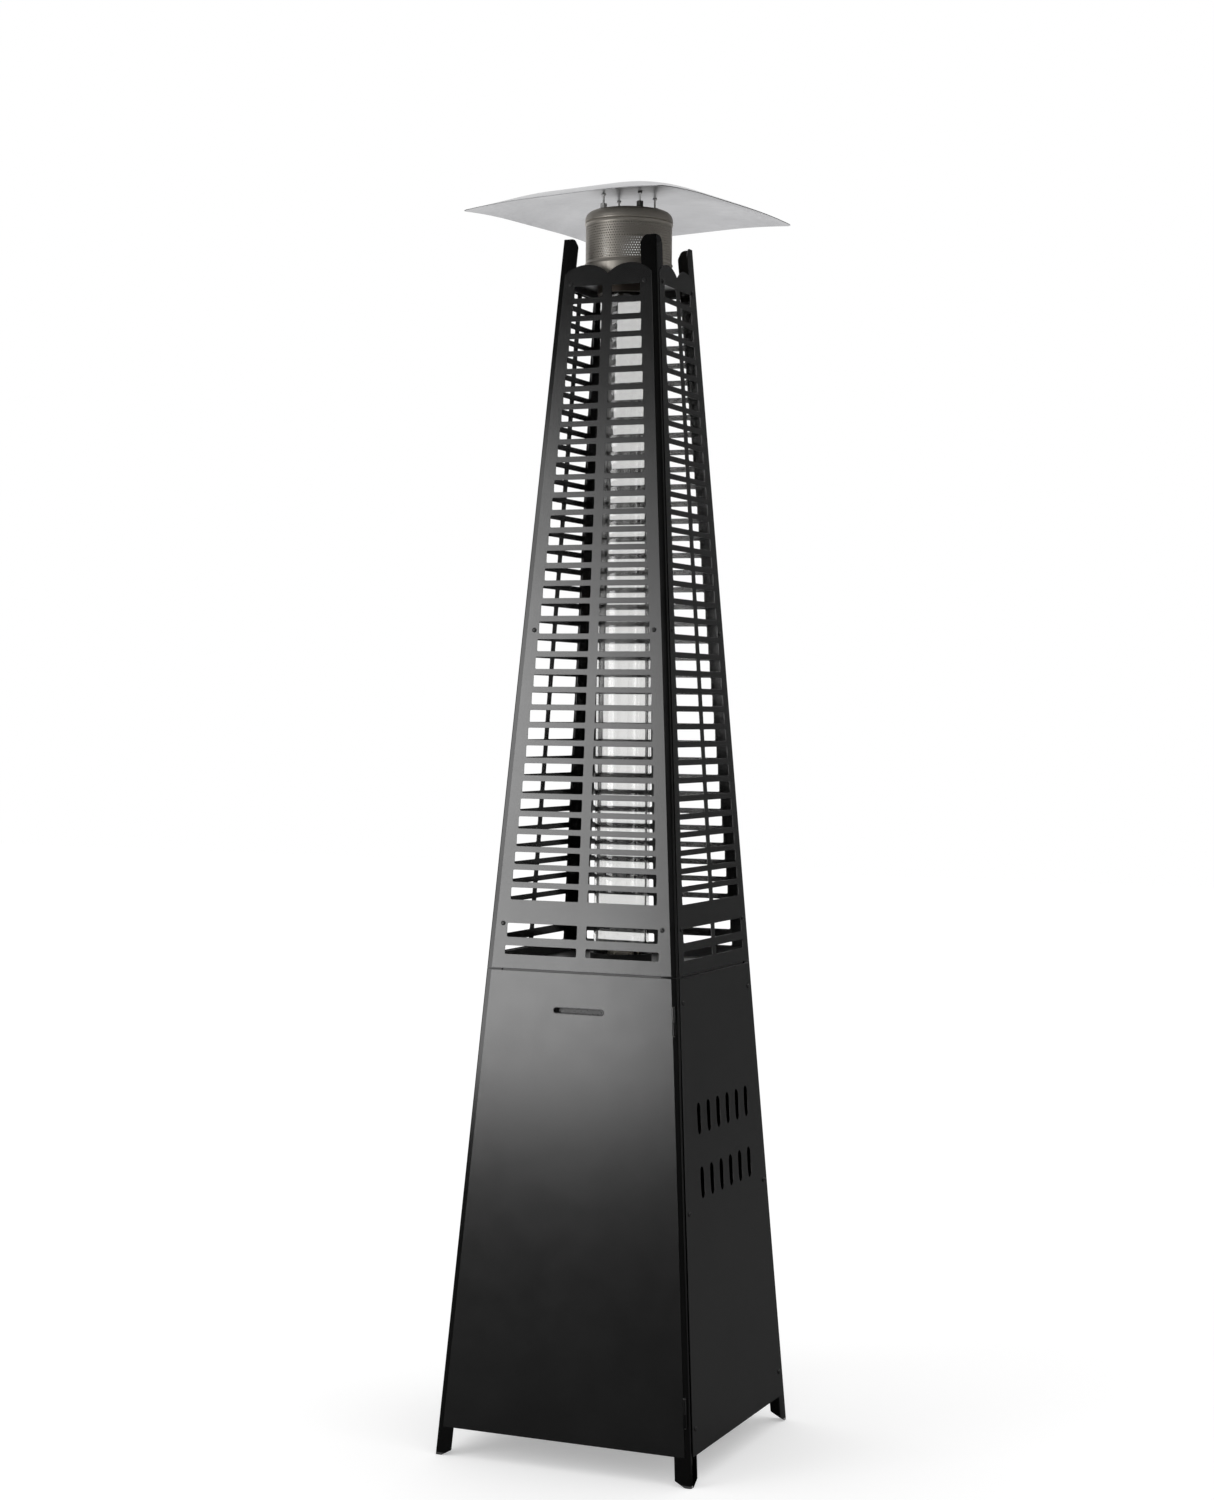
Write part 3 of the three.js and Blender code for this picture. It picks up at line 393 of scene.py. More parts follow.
skin_black = powder_coat(
    "skin_black", (0.0042, 0.0043, 0.0042), (0.0062, 0.0063, 0.0062), rough=0.20
)
# Painted shade: a darker, less reflective copy of the skins' powder coat, so that the posts' strips
# beside the skins read dark
post_black = powder_coat(
    "post_black", (0.002,) * 3, (0.0035,) * 3, rough=0.14, peel=FAINT_BUMP, level=0.45
)
inner_black = powder_coat("inner_black", (0.012,) * 3, (0.02,) * 3, rough=0.4)
drum_steel = bare_metal(
    "drum_steel",
    (0.43, 0.40, 0.355),
    (0.51, 0.475, 0.425),
    rough=0.42,
    brushed=(1, 1, 0.03),
    grain=500,
    depth=FAINT_BUMP,
    metallic=0.68,
)
# Brown like the drum, and darkened far below bare steel as painted shade that dims the softbox's
# highlight on the tube's collar
tint_and_shade_steel = bare_metal(
    "tint_and_shade_steel", (0.055, 0.044, 0.036), (0.10, 0.082, 0.066), rough=0.5, metallic=0.7
)
burner_steel = bare_metal("burner_steel", (0.34, 0.30, 0.26), (0.55, 0.50, 0.44), rough=0.34)
sheet_aluminium = bare_metal(
    "sheet_aluminium",
    (0.44, 0.44, 0.45),
    (0.52, 0.52, 0.53),
    rough=0.34,
    brushed=(0.03, 1, 1),
    grain=400,
)
zinc = bare_metal("zinc", (0.50, 0.50, 0.48), (0.64, 0.64, 0.62), rough=0.42, metallic=0.8)
# Painted light: a near-white, barely metallic copy of zinc, so that the studs and nuts in the
# reflector's shade look as light as its underside
painted_light_zinc = bare_metal("painted_light_zinc", (0.74, 0.74, 0.73), (0.84, 0.84, 0.83), rough=0.5, metallic=0.1)
# Painted shade: a dark copy of the zinc hardware, for the first stud's nuts under the reflector and
# for the hinge pins, whose highlights it dims
painted_shade_steel = bare_metal(
    "painted_shade_steel", (0.10, 0.10, 0.095), (0.16, 0.16, 0.15), rough=0.45, metallic=0.8
)
brass = bare_metal("brass", (0.45, 0.30, 0.12), (0.62, 0.45, 0.20), rough=0.3)
copper = bare_metal("copper", (0.52, 0.24, 0.13), (0.72, 0.38, 0.24), rough=0.28)
rubber = moulded("rubber", (0.012,) * 3, (0.022,) * 3, rough=0.7, level=0.3)
plastic = moulded("plastic", (0.026, 0.026, 0.027), (0.036, 0.036, 0.037), rough=0.30, level=0.9)
screw_black = powder_coat(
    "screw_black", (0.014,) * 3, (0.024,) * 3, rough=0.24, peel=FAINT_BUMP, level=0.5
)
white_paint = moulded("white_paint", (0.70, 0.70, 0.69), (0.80, 0.80, 0.79), rough=0.5)
ceramic = moulded("ceramic", (0.72, 0.68, 0.60), (0.82, 0.79, 0.72), rough=0.42)
quartz_glass = quartz()


def smooth_normals(node):
    """Normals shared by the faces that meet at a small angle. The vertices stay as they are."""
    mesh = cad[node].data
    around = {}
    for face in mesh.polygons:
        for v in face.vertices:
            place = mesh.vertices[v].co.to_tuple(6)
            around.setdefault(place, []).append((face.normal.copy(), face.area))
    normals = []
    limit = math.cos(CAD_SMOOTH_ANGLE)
    for face in mesh.polygons:
        face.use_smooth = True
    for face in mesh.polygons:
        for v in face.vertices:
            total = Vector()
            for normal, area in around[mesh.vertices[v].co.to_tuple(6)]:
                if normal.dot(face.normal) > limit:
                    total += normal * area
            normals.append(total.normalized() if total.length > 0 else face.normal)
    mesh.normals_split_custom_set(normals)


def dress(material, slot, *names):
    for name in names:
        cad[name].data.materials.clear()
        cad[name].data.materials.append(material)
        smooth_normals(name)


dress(inner_black, "inner_black", "bottom_shelf", "burner_deck", "top_plate")
dress(skin_black, "panel_black", "guard_front", "guard_right", "guard_rear", "guard_left")
dress(skin_black, "panel_black", "left_panel", "right_panel", "rear_panel", "door", "control_plate")
posts = [f"{part}_post_{corner}" for part in ("lower", "upper") for corner in CORNERS]
# The posts and the hinges wear the post material's painted shade
dress(post_black, "post_black", *posts, "door_hinge_lower", "door_hinge_upper")
dress(plastic, "black_plastic", "door_pull_cup", "door_catch", "tilt_switch")
dress(plastic, "black_plastic", "control_knob", "igniter_body", "igniter_button")
dress(drum_steel, "screen_stainless", "flame_screen", "screen_cap")
dress(burner_steel, "burner_stainless", "burner_cup", "burner_head", "thermocouple")
dress(sheet_aluminium, "reflector_aluminium", "reflector")
dress(quartz_glass, "quartz_glass", "glass_tube")
dress(rubber, "seal_rubber", "tube_seat", "igniter_lead")
dress(tint_and_shade_steel, "zinc_steel", "tube_collar")
dress(zinc, "zinc_steel", "burner_plate", "mixing_tube")
# Painted shade: the hinge pins are darkened so that their highlights are dim
dress(painted_shade_steel, "zinc_steel", "door_hinge_pin_lower", "door_hinge_pin_upper")
dress(zinc, "zinc_steel", "valve_spindle", *[f"wing_nut_{i}" for i in range(1, 5)])
dress(zinc, "zinc_steel", *[f"reflector_stud_{i}" for i in range(1, 5)])
dress(brass, "brass", "gas_inlet", "gas_jet", "gas_valve", "pilot_burner")
dress(copper, "copper_pipe", "supply_pipe", "pilot_pipe", "thermocouple_lead")
dress(ceramic, "ceramic", "ignition_electrode")


# Pieces of sheet metal: slotted guards, louvred panels and the door
EASE = 0.00025
SLOT_RADIUS = 0.0022
ARCH_STEPS = 18
CORNER_RADIUS = 0.0015
LOUVRE_TAPER = 0.009
LOUVRE_BLUNTNESS = 1.4
BLADE_WALL = 0.0008
BLADE_DEPTH = 0.0075
BLADE_SHARE = 0.72
BLADE_START = 0.04
BLADE_SWELL = 0.35
BLADE_STEPS = 6
BLADE_ROWS = 14
WINDOW_RADIUS = 0.004
WINDOW_STEPS = 6
PAN_FLANGE = 0.009
RIM_SPREAD = 0.003
RIM_RISE = 0.0006
KNUCKLE_SIDES = 28
LEAF_START = 0.3


def trapezoid(low, high, margin):
    """Anticlockwise outline of a face between two heights, inset from the corners."""
    corners = ((low, 1), (high, 1), (high, -1), (low, -1))
    loop = [Vector(((half_at(z) - margin) * side, slanted(z))) for z, side in corners]
    return loop[-1:] + loop[:-1]


def rounded_corners(loop, radius, steps=3):
    """The loop with each corner replaced by a short curve."""
    points = []
    for i, here in enumerate(loop):
        before = here + (loop[i - 1] - here).normalized() * radius
        after = here + (loop[(i + 1) % len(loop)] - here).normalized() * radius
        for step in range(steps + 1):
            t = step / steps
            points.append(before * (1 - t) ** 2 + here * 2 * t * (1 - t) + after * t * t)
    return points


def panel_outline():
    return rounded_corners(trapezoid(PANEL_BOTTOM, SEAM - SEAM_GAP / 2, SKIN_MARGIN), CORNER_RADIUS)


def arched_loop():
    """Anticlockwise outline of a guard: a straight foot and sides under two arches."""
    low = SEAM + SEAM_GAP / 2
    edge = half_at(GUARD_TOP - ARCH_RISE) - SKIN_MARGIN
    foot = half_at(low) - SKIN_MARGIN
    radius = (edge * edge / 4 + ARCH_RISE * ARCH_RISE) / (2 * ARCH_RISE)
    centre = slanted(GUARD_TOP) - radius
    sweep = math.asin(edge / 2 / radius)
    points = [Vector((-foot, slanted(low))), Vector((foot, slanted(low)))]
    for middle, steps in ((edge / 2, range(ARCH_STEPS)), (-edge / 2, range(ARCH_STEPS + 1))):
        for step in steps:
            x, y = polar(radius, QUARTER - sweep + 2 * sweep * step / ARCH_STEPS)
            points.append(Vector((middle + x, centre + y)))
    return points


def slot_rows(band):
    """Height and opening of each pair of slots in a guard, above and below its plain band."""
    top = GUARD_TOP - TOP_SLOT_DROP
    lowest = SEAM + UPPER_VENT[0] + (UPPER_VENT[1] + SLOT_HEIGHT) / 2 + band
    count = math.floor((top - lowest) / SLOT_PITCH) + 1
    rows = [(top - row * SLOT_PITCH, SLOT_HEIGHT) for row in range(count)]
    return rows + [(SEAM + rise, tall) for rise, tall in (UPPER_VENT, LOWER_VENT)]


def make_guard(side, turns):
    holes = []
    for z, tall in slot_rows(GUARD_BANDS[side]):
        low, high = slanted(z - tall / 2), slanted(z + tall / 2)
        outer = half_at(z + tall / 2) - SLOT_MARGIN
        holes.append(rounded_rectangle(SPINE / 2, outer, low, high, SLOT_RADIUS))
        holes.append(rounded_rectangle(-outer, -SPINE / 2, low, high, SLOT_RADIUS))
    bm = bmesh.new()
    sheet_body(bm, arched_loop(), holes, SEAT, SEAT + SHEET, EASE, face_matrix(turns))
    new_piece(f"guard_sheet_{side}", bm, skin_black, stands_for=[f"guard_{side}"])


def rectangle(left, right, low, high):
    """Anticlockwise, as an outline."""
    return [Vector((left, low)), Vector((right, low)), Vector((right, high)), Vector((left, high))]


def add_lip(bm, matrix):
    """The lip folded inwards at the foot of a panel."""
    reach = half_at(PANEL_BOTTOM) - POST_FLANGE - SHEET * 2
    low = slanted(PANEL_BOTTOM)
    strip = rectangle(-reach, reach, low, low + SHEET)
    sheet_body(bm, strip, [], SEAT - LIP_DEPTH, SEAT + EASE, EASE / 2, matrix)


def louvre_hole(left, right, low, high, steps=6):
    """Clockwise, with ends that run to a blunt point."""
    middle = (left + right) / 2
    reach = (right - left) / 2
    points = []
    for end, start, way in ((high, right, -1), (low, left, 1)):
        for step in range(steps + 1):
            a = math.pi * step / steps
            x = middle + reach * math.cos(a) * -way
            drop = LOUVRE_TAPER * (1 - math.sin(a) ** LOUVRE_BLUNTNESS)
            points.append(Vector((x, end + way * drop)))
    return points[::-1]


def add_blade(bm, left, right, low, high, matrix):
    """The tongue of a louvre, hinged on its slot's left edge and pressed in, with closed ends."""
    reach = (right - left) / 2
    layers = []
    for lift in (0, -BLADE_WALL):
        grid = []
        for row in range(BLADE_ROWS + 1):
            share = BLADE_START + (1 - 2 * BLADE_START) * row / BLADE_ROWS
            v = 0.5 - 0.5 * math.cos(math.pi * share)
            y = low + (high - low) * v
            inside = min(1, (y - low) / LOUVRE_TAPER, (high - y) / LOUVRE_TAPER)
            half = reach * math.sqrt(1 - (1 - inside) ** (2 / LOUVRE_BLUNTNESS))
            swell = math.sin(math.pi * v) ** BLADE_SWELL
            line = []
            for step in range(BLADE_STEPS + 1):
                u = step / BLADE_STEPS
                x = left + reach - half - EASE + 2 * half * BLADE_SHARE * u
                dip = BLADE_DEPTH * swell * (1 - math.cos(QUARTER * u))
                line.append(bm.verts.new(matrix @ Vector((x, y, SEAT + SHEET - dip + lift - EASE))))
            grid.append(line)
        layers.append(grid)
    over, under = layers
    rim = grid_faces(bm, over, under)
    for (a, b), (c, d) in zip(rim, rim[1:] + rim[:1]):
        bm.faces.new((over[a][b], under[a][b], under[c][d], over[c][d]))


def make_side_panel(side, turns):
    matrix = face_matrix(turns)
    bm = bmesh.new()
    holes = []
    for row in range(LOUVRE_ROWS):
        low = slanted(SEAM - LOUVRE_DROP - row * LOUVRE_ROW_PITCH) - LOUVRE_HEIGHT / 2
        for column in range(LOUVRE_COLUMNS):
            left = (column - (LOUVRE_COLUMNS - 1) / 2) * LOUVRE_PITCH - LOUVRE_WIDTH / 2
            right, high = left + LOUVRE_WIDTH, low + LOUVRE_HEIGHT
            holes.append(louvre_hole(left, right, low, high))
            add_blade(bm, left, right, low, high, matrix)
    sheet_body(bm, panel_outline(), holes, SEAT, SEAT + SHEET, EASE, matrix)
    add_lip(bm, matrix)
    new_piece(f"{side}_sheet", bm, skin_black, stands_for=[f"{side}_panel"])


def make_rear_panel():
    matrix = face_matrix(2)
    bm = bmesh.new()
    low, high = slanted(CONTROLS_AT) - CONTROL_RISE, slanted(CONTROLS_AT) + CONTROL_RISE
    reach = CONTROL_REACH
    window = rounded_rectangle(-reach, reach, low, high, WINDOW_RADIUS, WINDOW_STEPS)
    sheet_body(bm, panel_outline(), [window], SEAT, SEAT + SHEET, EASE, matrix)
    add_lip(bm, matrix)
    new_piece("rear_sheet", bm, skin_black, stands_for=["rear_panel"])


def hinge_matrix(z):
    rise = KNUCKLE_RADIUS + SEAT
    return (
        face_matrix(0)
        @ Matrix.Translation((half_at(z) - SKIN_MARGIN + rise, slanted(z), rise))
        @ Matrix.Rotation(math.atan(math.sin(LEAN_ANGLE)), 4, "Z")
    )


def add_knuckle(bm, z, start, towards):
    """A rolled knuckle with its leaf, on the hinge line at a height."""
    place = hinge_matrix(z)
    end = start + KNUCKLE_LENGTH
    profile = washer(KNUCKLE_BORE, KNUCKLE_RADIUS, KNUCKLE_RADIUS - EASE, start, end, EASE)
    profile.append((KNUCKLE_BORE, start))
    lathe(bm, profile, KNUCKLE_SIDES, place @ Matrix.Rotation(-QUARTER, 4, "X"))
    reach = KNUCKLE_RADIUS + SEAT + SHEET
    left, right = sorted((towards * KNUCKLE_RADIUS * LEAF_START, towards * reach))
    leaf = rectangle(left, right, start, end)
    sheet_body(bm, leaf, [], -KNUCKLE_RADIUS, SHEET - KNUCKLE_RADIUS, EASE, place)


def stadium(width, height, middle, steps=10):
    """Clockwise slot with round ends."""
    reach = (width - height) / 2
    points = []
    for side in (1, -1):
        for step in range(steps + 1):
            x, y = polar(height / 2, QUARTER * side - math.pi * step / steps)
            points.append(Vector((reach * side + x, middle + y)))
    return points


def make_door():
    """The door's skin with its pan, flange and knuckles, and the rolled rim of its finger slot."""
    matrix = face_matrix(0)
    bm = bmesh.new()
    slot_at = slanted(SEAM - FINGER_DROP)
    hole = stadium(FINGER_WIDTH, FINGER_HEIGHT, slot_at)
    sheet_body(bm, panel_outline(), [hole], SEAT, SEAT + SHEET, EASE, matrix)
    pan = rounded_corners(trapezoid(PAN_LOW, PAN_HIGH, PAN_MARGIN), CORNER_RADIUS * 2)
    inside = shifted_loop(pan, SHEET)[::-1]
    sheet_body(bm, pan, [inside], SEAT - PAN_DEPTH, SEAT + EASE, EASE, matrix)
    flange = shifted_loop(pan, PAN_FLANGE)[::-1]
    ring = shifted_loop(pan, SHEET / 2)
    sheet_body(bm, ring, [flange], SEAT - PAN_DEPTH, SEAT - PAN_DEPTH + SHEET, EASE, matrix)
    for z in HINGE_HEIGHTS.values():
        add_knuckle(bm, z, SEAT, -1)
    new_piece("door_sheet", bm, skin_black, "door", ["door"])
    bm = bmesh.new()
    bead = stadium(FINGER_WIDTH + RIM_SPREAD, FINGER_HEIGHT + RIM_SPREAD, slot_at)[::-1]
    sheet_body(bm, bead, [hole], SEAT + SHEET - EASE, SEAT + SHEET + RIM_RISE, EASE, matrix)
    new_piece("finger_slot_rim", bm, plastic, "door")


def make_hinges():
    for level, z in HINGE_HEIGHTS.items():
        bm = bmesh.new()
        add_knuckle(bm, z, -KNUCKLE_LENGTH, 1)
        replaced = [f"door_hinge_{level}"]
        new_piece(f"fixed_knuckle_{level}", bm, post_black, stands_for=replaced)


# Posts: an angle section with a folded corner, cut at the tip and the foot
FOLD_RADIUS = 0.0028
FOLD_STEPS = 6
FOLD_ANGLE = math.radians(25)
TIP_CUTS = ((0.018, 0.0, 22), (0.0215, 0.0015, 44), (0.024, 0.004, 66))
POST_EASE = EASE * 1.4


def post_section(z):
    """Anticlockwise section of the front right post."""
    half = half_at(z)
    fold, inside = [], []
    for step in range(FOLD_STEPS + 1):
        x, y = polar(FOLD_RADIUS, -QUARTER + QUARTER * step / FOLD_STEPS)
        fold.append((half - FOLD_RADIUS + x, -half + FOLD_RADIUS + y))
        x, y = polar(FOLD_RADIUS - POST_WALL, -QUARTER * step / FOLD_STEPS)
        inside.append((half - FOLD_RADIUS + x, -half + FOLD_RADIUS + y))
    ends = [(half, POST_FLANGE - half), (half - POST_WALL, POST_FLANGE - half)]
    far = [(half - POST_FLANGE, POST_WALL - half), (half - POST_FLANGE, -half)]
    return [Vector((x, y, z)) for x, y in fold + ends + inside + far]


def trim(bm, z, flat, drop, angle, upward):
    """Cuts off what lies beyond a plane near the end of a post, slanting by an angle in degrees."""
    steep = math.tan(math.radians(angle))
    normal = Vector((-steep, steep, upward)).normalized()
    place = Vector((half_at(z) - flat, -half_at(z), z - upward * drop))
    cut = bmesh.ops.bisect_plane(
        bm,
        geom=bm.verts[:] + bm.edges[:] + bm.faces[:],
        plane_co=place,
        plane_no=normal,
        clear_outer=True,
    )
    rim = [item for item in cut["geom_cut"] if isinstance(item, bmesh.types.BMEdge)]
    if rim:
        bmesh.ops.contextual_create(bm, geom=rim)


def make_post(part, corner, turns):
    low, high = (0, SEAM - SEAT / 2) if part == "lower" else (SEAM + SEAT / 2, POST_HEIGHT)
    bm = bmesh.new()
    lower = [bm.verts.new(point) for point in post_section(low)]
    upper = [bm.verts.new(point) for point in post_section(high)]
    bridge(bm, lower, upper)
    bm.faces.new(lower[::-1])
    bm.faces.new(upper)
    if part == "lower":
        trim(bm, 0, FOOT_FLAT, 0, FOOT_ANGLE, -1)
    else:
        for flat, drop, angle in TIP_CUTS:
            trim(bm, POST_HEIGHT, flat, drop, angle, 1)
    bmesh.ops.transform(bm, matrix=Matrix.Rotation(turns * QUARTER, 4, "Z"), verts=bm.verts)
    name, replaced = f"{part}_angle_{corner}", [f"{part}_post_{corner}"]
    piece = new_piece(name, bm, post_black, "frame", replaced, FOLD_ANGLE)
    bevel = piece.modifiers.new("ease", "BEVEL")
    bevel.width = POST_EASE
    bevel.segments = 2
    bevel.limit_method = "ANGLE"
    bevel.angle_limit = SMOOTH_ANGLE
    bevel.harden_normals = True


# Flame screen: a finely perforated drum with two rolled beads under a pressed cap
HOLE_COLUMNS = 104
HOLE_ROWS = 14
HOLE_RADIUS = 0.00125
HOLE_CORNERS = 8
CELL_RIM = ((1, 0), (1, 1), (0, 1), (-1, 1), (-1, 0), (-1, -1), (0, -1), (1, -1))
DRUM_SIDES = 208
BAND_CLEARANCE = 0.0045
BEAD_STEPS = 6
DRUM_WELD = 0.00005
CAP_SIDES = 96
CAP_STEPS = 12
CAP_RINGS = (0.75, 0.5, 0.25)
CAP_HEM = ((0.0004, 0.0012), (0, 0.0026))


def bead_profile(offset):
    """Radius and height up the drum's wall, below and above its perforated band."""
    radius = DRUM_RADIUS - offset
    profile = []
    for middle in BEADS:
        points = []
        for step in range(BEAD_STEPS + 1):
            t = step / BEAD_STEPS
            rise = BEAD_RISE * 0.5 * (1 - math.cos(math.tau * t))
            points.append((radius + rise, middle - BEAD_HALF + 2 * BEAD_HALF * t))
        profile.append(points)
    below = [(radius, DRUM_BOTTOM), *profile[0], (radius, BEADS[0] + BAND_CLEARANCE)]
    above = [(radius, BEADS[1] - BAND_CLEARANCE), *profile[1], (radius, DRUM_TOP)]
    return below, above


def perforated_band(bm, radius, low, high, outward):
    """A round wall of cells in brick rows, each with a round hole. Returns the holes' rims."""
    rims = []
    cell_width = math.tau / HOLE_COLUMNS
    cell_height = (high - low) / HOLE_ROWS
    lattice = {}

    def vertex(angle, z, key):
        if key not in lattice:
            lattice[key] = bm.verts.new((*polar(radius, angle), z))
        return lattice[key]

    for row in range(HOLE_ROWS):
        shift = row % 2
        for column in range(HOLE_COLUMNS):
            middle = (column + shift / 2) * cell_width
            z = low + (row + 0.5) * cell_height
            half = 2 * column + shift
            corners = []
            for i, j in CELL_RIM:
                key = ((half + i) % (2 * HOLE_COLUMNS), 2 * row + 1 + j)
                corners.append(vertex(middle + i * cell_width / 2, z + j * cell_height / 2, key))
            rim = []
            for corner in range(HOLE_CORNERS):
                across, up = polar(HOLE_RADIUS, math.tau * corner / HOLE_CORNERS)
                rim.append(bm.verts.new((*polar(radius, middle + across / DRUM_RADIUS), z + up)))
            for corner in range(HOLE_CORNERS):
                after = (corner + 1) % HOLE_CORNERS
                face = (corners[corner], corners[after], rim[after], rim[corner])
                bm.faces.new(face if outward else face[::-1])
            rims.append(rim)
    return rims


def make_drum():
    bm = bmesh.new()
    low, high = BEADS[0] + BAND_CLEARANCE, BEADS[1] - BAND_CLEARANCE
    outer = perforated_band(bm, DRUM_RADIUS, low, high, True)
    inner = perforated_band(bm, DRUM_RADIUS - DRUM_WALL, low, high, False)
    for near, far in zip(outer, inner):
        bridge(bm, near, far)
    below, above = bead_profile(0)
    below_in, above_in = bead_profile(DRUM_WALL)
    lathe(bm, below_in[::-1] + below, DRUM_SIDES)
    lathe(bm, above + above_in[::-1], DRUM_SIDES)
    bmesh.ops.remove_doubles(bm, verts=bm.verts, dist=DRUM_WELD)
    new_piece("drum", bm, drum_steel, stands_for=["flame_screen"])


def cap_profile(offset):
    """The cap's skirt, shoulder and flat top, from its rim to its middle."""
    radius = CAP_RADIUS - offset
    shoulder = CAP_SHOULDER - offset
    start = CAP_TOP - CAP_SHOULDER
    points = [(radius, CAP_BOTTOM)]
    for step in range(CAP_STEPS + 1):
        x, y = polar(shoulder, QUARTER * step / CAP_STEPS)
        points.append((radius - shoulder + x, start + y))
    points += [((radius - shoulder) * share, CAP_TOP - offset) for share in CAP_RINGS]
    return points + [(0, CAP_TOP - offset)]


def make_cap():
    bm = bmesh.new()
    outside = cap_profile(0)
    outside[1:1] = [(CAP_RADIUS + bulge, CAP_BOTTOM + rise) for bulge, rise in CAP_HEM]
    inside = cap_profile(DRUM_WALL)
    lathe(bm, inside[::-1] + outside, CAP_SIDES)
    new_piece("drum_cap", bm, drum_steel, stands_for=["screen_cap"])


# Reflector on threaded studs
STUD_SIDES = 14
STUD_ABOVE = 0.011
STUD_BELOW = 0.007
THREAD_PITCH = 0.0011
THREAD_DEPTH = 0.0003
THREAD_RADIUS = STUD_RADIUS * 0.8
THREAD_ANGLE = math.radians(50)
HEX_REACH = 0.0065
HEX_HEIGHT = 0.012
HEX_CHAMFER = 0.1
HEX_FACE = 0.88
REST_REACH = 0.0045
REST_HEIGHT = 0.002
HUB_SIDES = 28
HUB_HEIGHT = 0.0066
HUB = (
    (STUD_RADIUS, 0),
    (0.0062, 0),
    (0.0065, 0.0004),
    (0.0056, 0.0058),
    (0.0050, HUB_HEIGHT),
    (STUD_RADIUS, HUB_HEIGHT),
)
WING = (
    (0.0042, 0.0008),
    (0.0090, 0.0022),
    (0.0136, 0.0062),
    (0.0148, 0.0092),
    (0.0138, 0.0114),
    (0.0116, 0.0119),
    (0.0098, 0.0104),
    (0.0078, 0.0072),
    (0.0044, 0.0056),
)
WING_HALF = 0.0011
WING_EASE = 0.0004
WING_CORNER = 0.0008
REFLECTOR_CELLS = 44
REFLECTOR_CORNER = 0.010


def hex_nut(bm, place, foot, reach, height):
    """A hexagon nut with chamfered ends."""
    ease = reach * HEX_CHAMFER
    profile = washer(STUD_RADIUS, reach, reach * HEX_FACE, foot, foot + height, ease)
    lathe(bm, profile, 6, Matrix.Translation(place))


def wing_nut(bm, place, foot, turn):
    """A hub with two rounded wings that lean outwards."""
    matrix = Matrix.Translation(place) @ Matrix.Rotation(turn, 4, "Z")
    lathe(bm, [(radius, foot + rise) for radius, rise in HUB], HUB_SIDES, matrix)
    upright = matrix @ Matrix.Translation((0, 0, foot)) @ Matrix.Rotation(QUARTER, 4, "X")
    for side in (1, -1):
        outline = rounded_corners([Vector((x * side, y)) for x, y in WING], WING_CORNER, steps=2)
        sheet_body(bm, outline[::side], [], -WING_HALF, WING_HALF, WING_EASE, upright)


def make_studs():
    """Four studs, each with a nut on the cap, a rest under the reflector and a wing nut above.

    The nut on the first one is dark, as in the photograph.
    """
    under, over = REFLECTOR_UNDER, REFLECTOR_UNDER + REFLECTOR_SHEET
    low = CAP_TOP - STUD_BELOW
    count = int((over + STUD_ABOVE - low) / THREAD_PITCH)
    profile = [(0, low)]
    for rib in range(count):
        z = low + rib * THREAD_PITCH
        profile += [(THREAD_RADIUS - THREAD_DEPTH, z), (THREAD_RADIUS, z + THREAD_PITCH / 2)]
    profile.append((0, low + count * THREAD_PITCH))
    # Painted light on the four studs and on the nuts of studs 2 to 4; painted shade on the first
    # stud's nuts
    for i in range(1, 5):
        place = Vector((*polar(STUD_CIRCLE, (i - 1.5) * QUARTER), 0))
        bm = bmesh.new()
        lathe(bm, profile, STUD_SIDES, Matrix.Translation(place))
        replaced = [f"reflector_stud_{i}"]
        new_piece(f"stud_{i}", bm, painted_light_zinc, "frame", replaced, THREAD_ANGLE)
        bm = bmesh.new()
        hex_nut(bm, place, CAP_TOP + SEAT, HEX_REACH, HEX_HEIGHT)
        hex_nut(bm, place, under - REST_HEIGHT - SEAT, REST_REACH, REST_HEIGHT)
        new_piece(f"stud_nuts_{i}", bm, painted_shade_steel if i == 1 else painted_light_zinc)
        bm = bmesh.new()
        wing_nut(bm, place, over + SEAT, math.atan2(place.y, place.x) + QUARTER)
        new_piece(f"wing_{i}", bm, zinc, stands_for=[f"wing_nut_{i}"])


def reflector_rise(u, v):
    def level(t):
        return 1 - (max(0, abs(t) - REFLECTOR_FLAT) / (1 - REFLECTOR_FLAT)) ** 2

    across, along = level(u), level(v)
    middle = (REFLECTOR_DOME - REFLECTOR_EDGE_RISE) * across * along
    return middle + REFLECTOR_EDGE_RISE * (across + along - across * along)


def rounded_place(u, v):
    """Pulls the corners of a square of half side 1 in to a small radius."""
    radius = REFLECTOR_CORNER / REFLECTOR_HALF
    inner = 1 - radius
    if abs(u) <= inner or abs(v) <= inner:
        return u, v
    du, dv = abs(u) - inner, abs(v) - inner
    scale = max(du, dv) / math.hypot(du, dv)
    return math.copysign(inner + du * scale, u), math.copysign(inner + dv * scale, v)


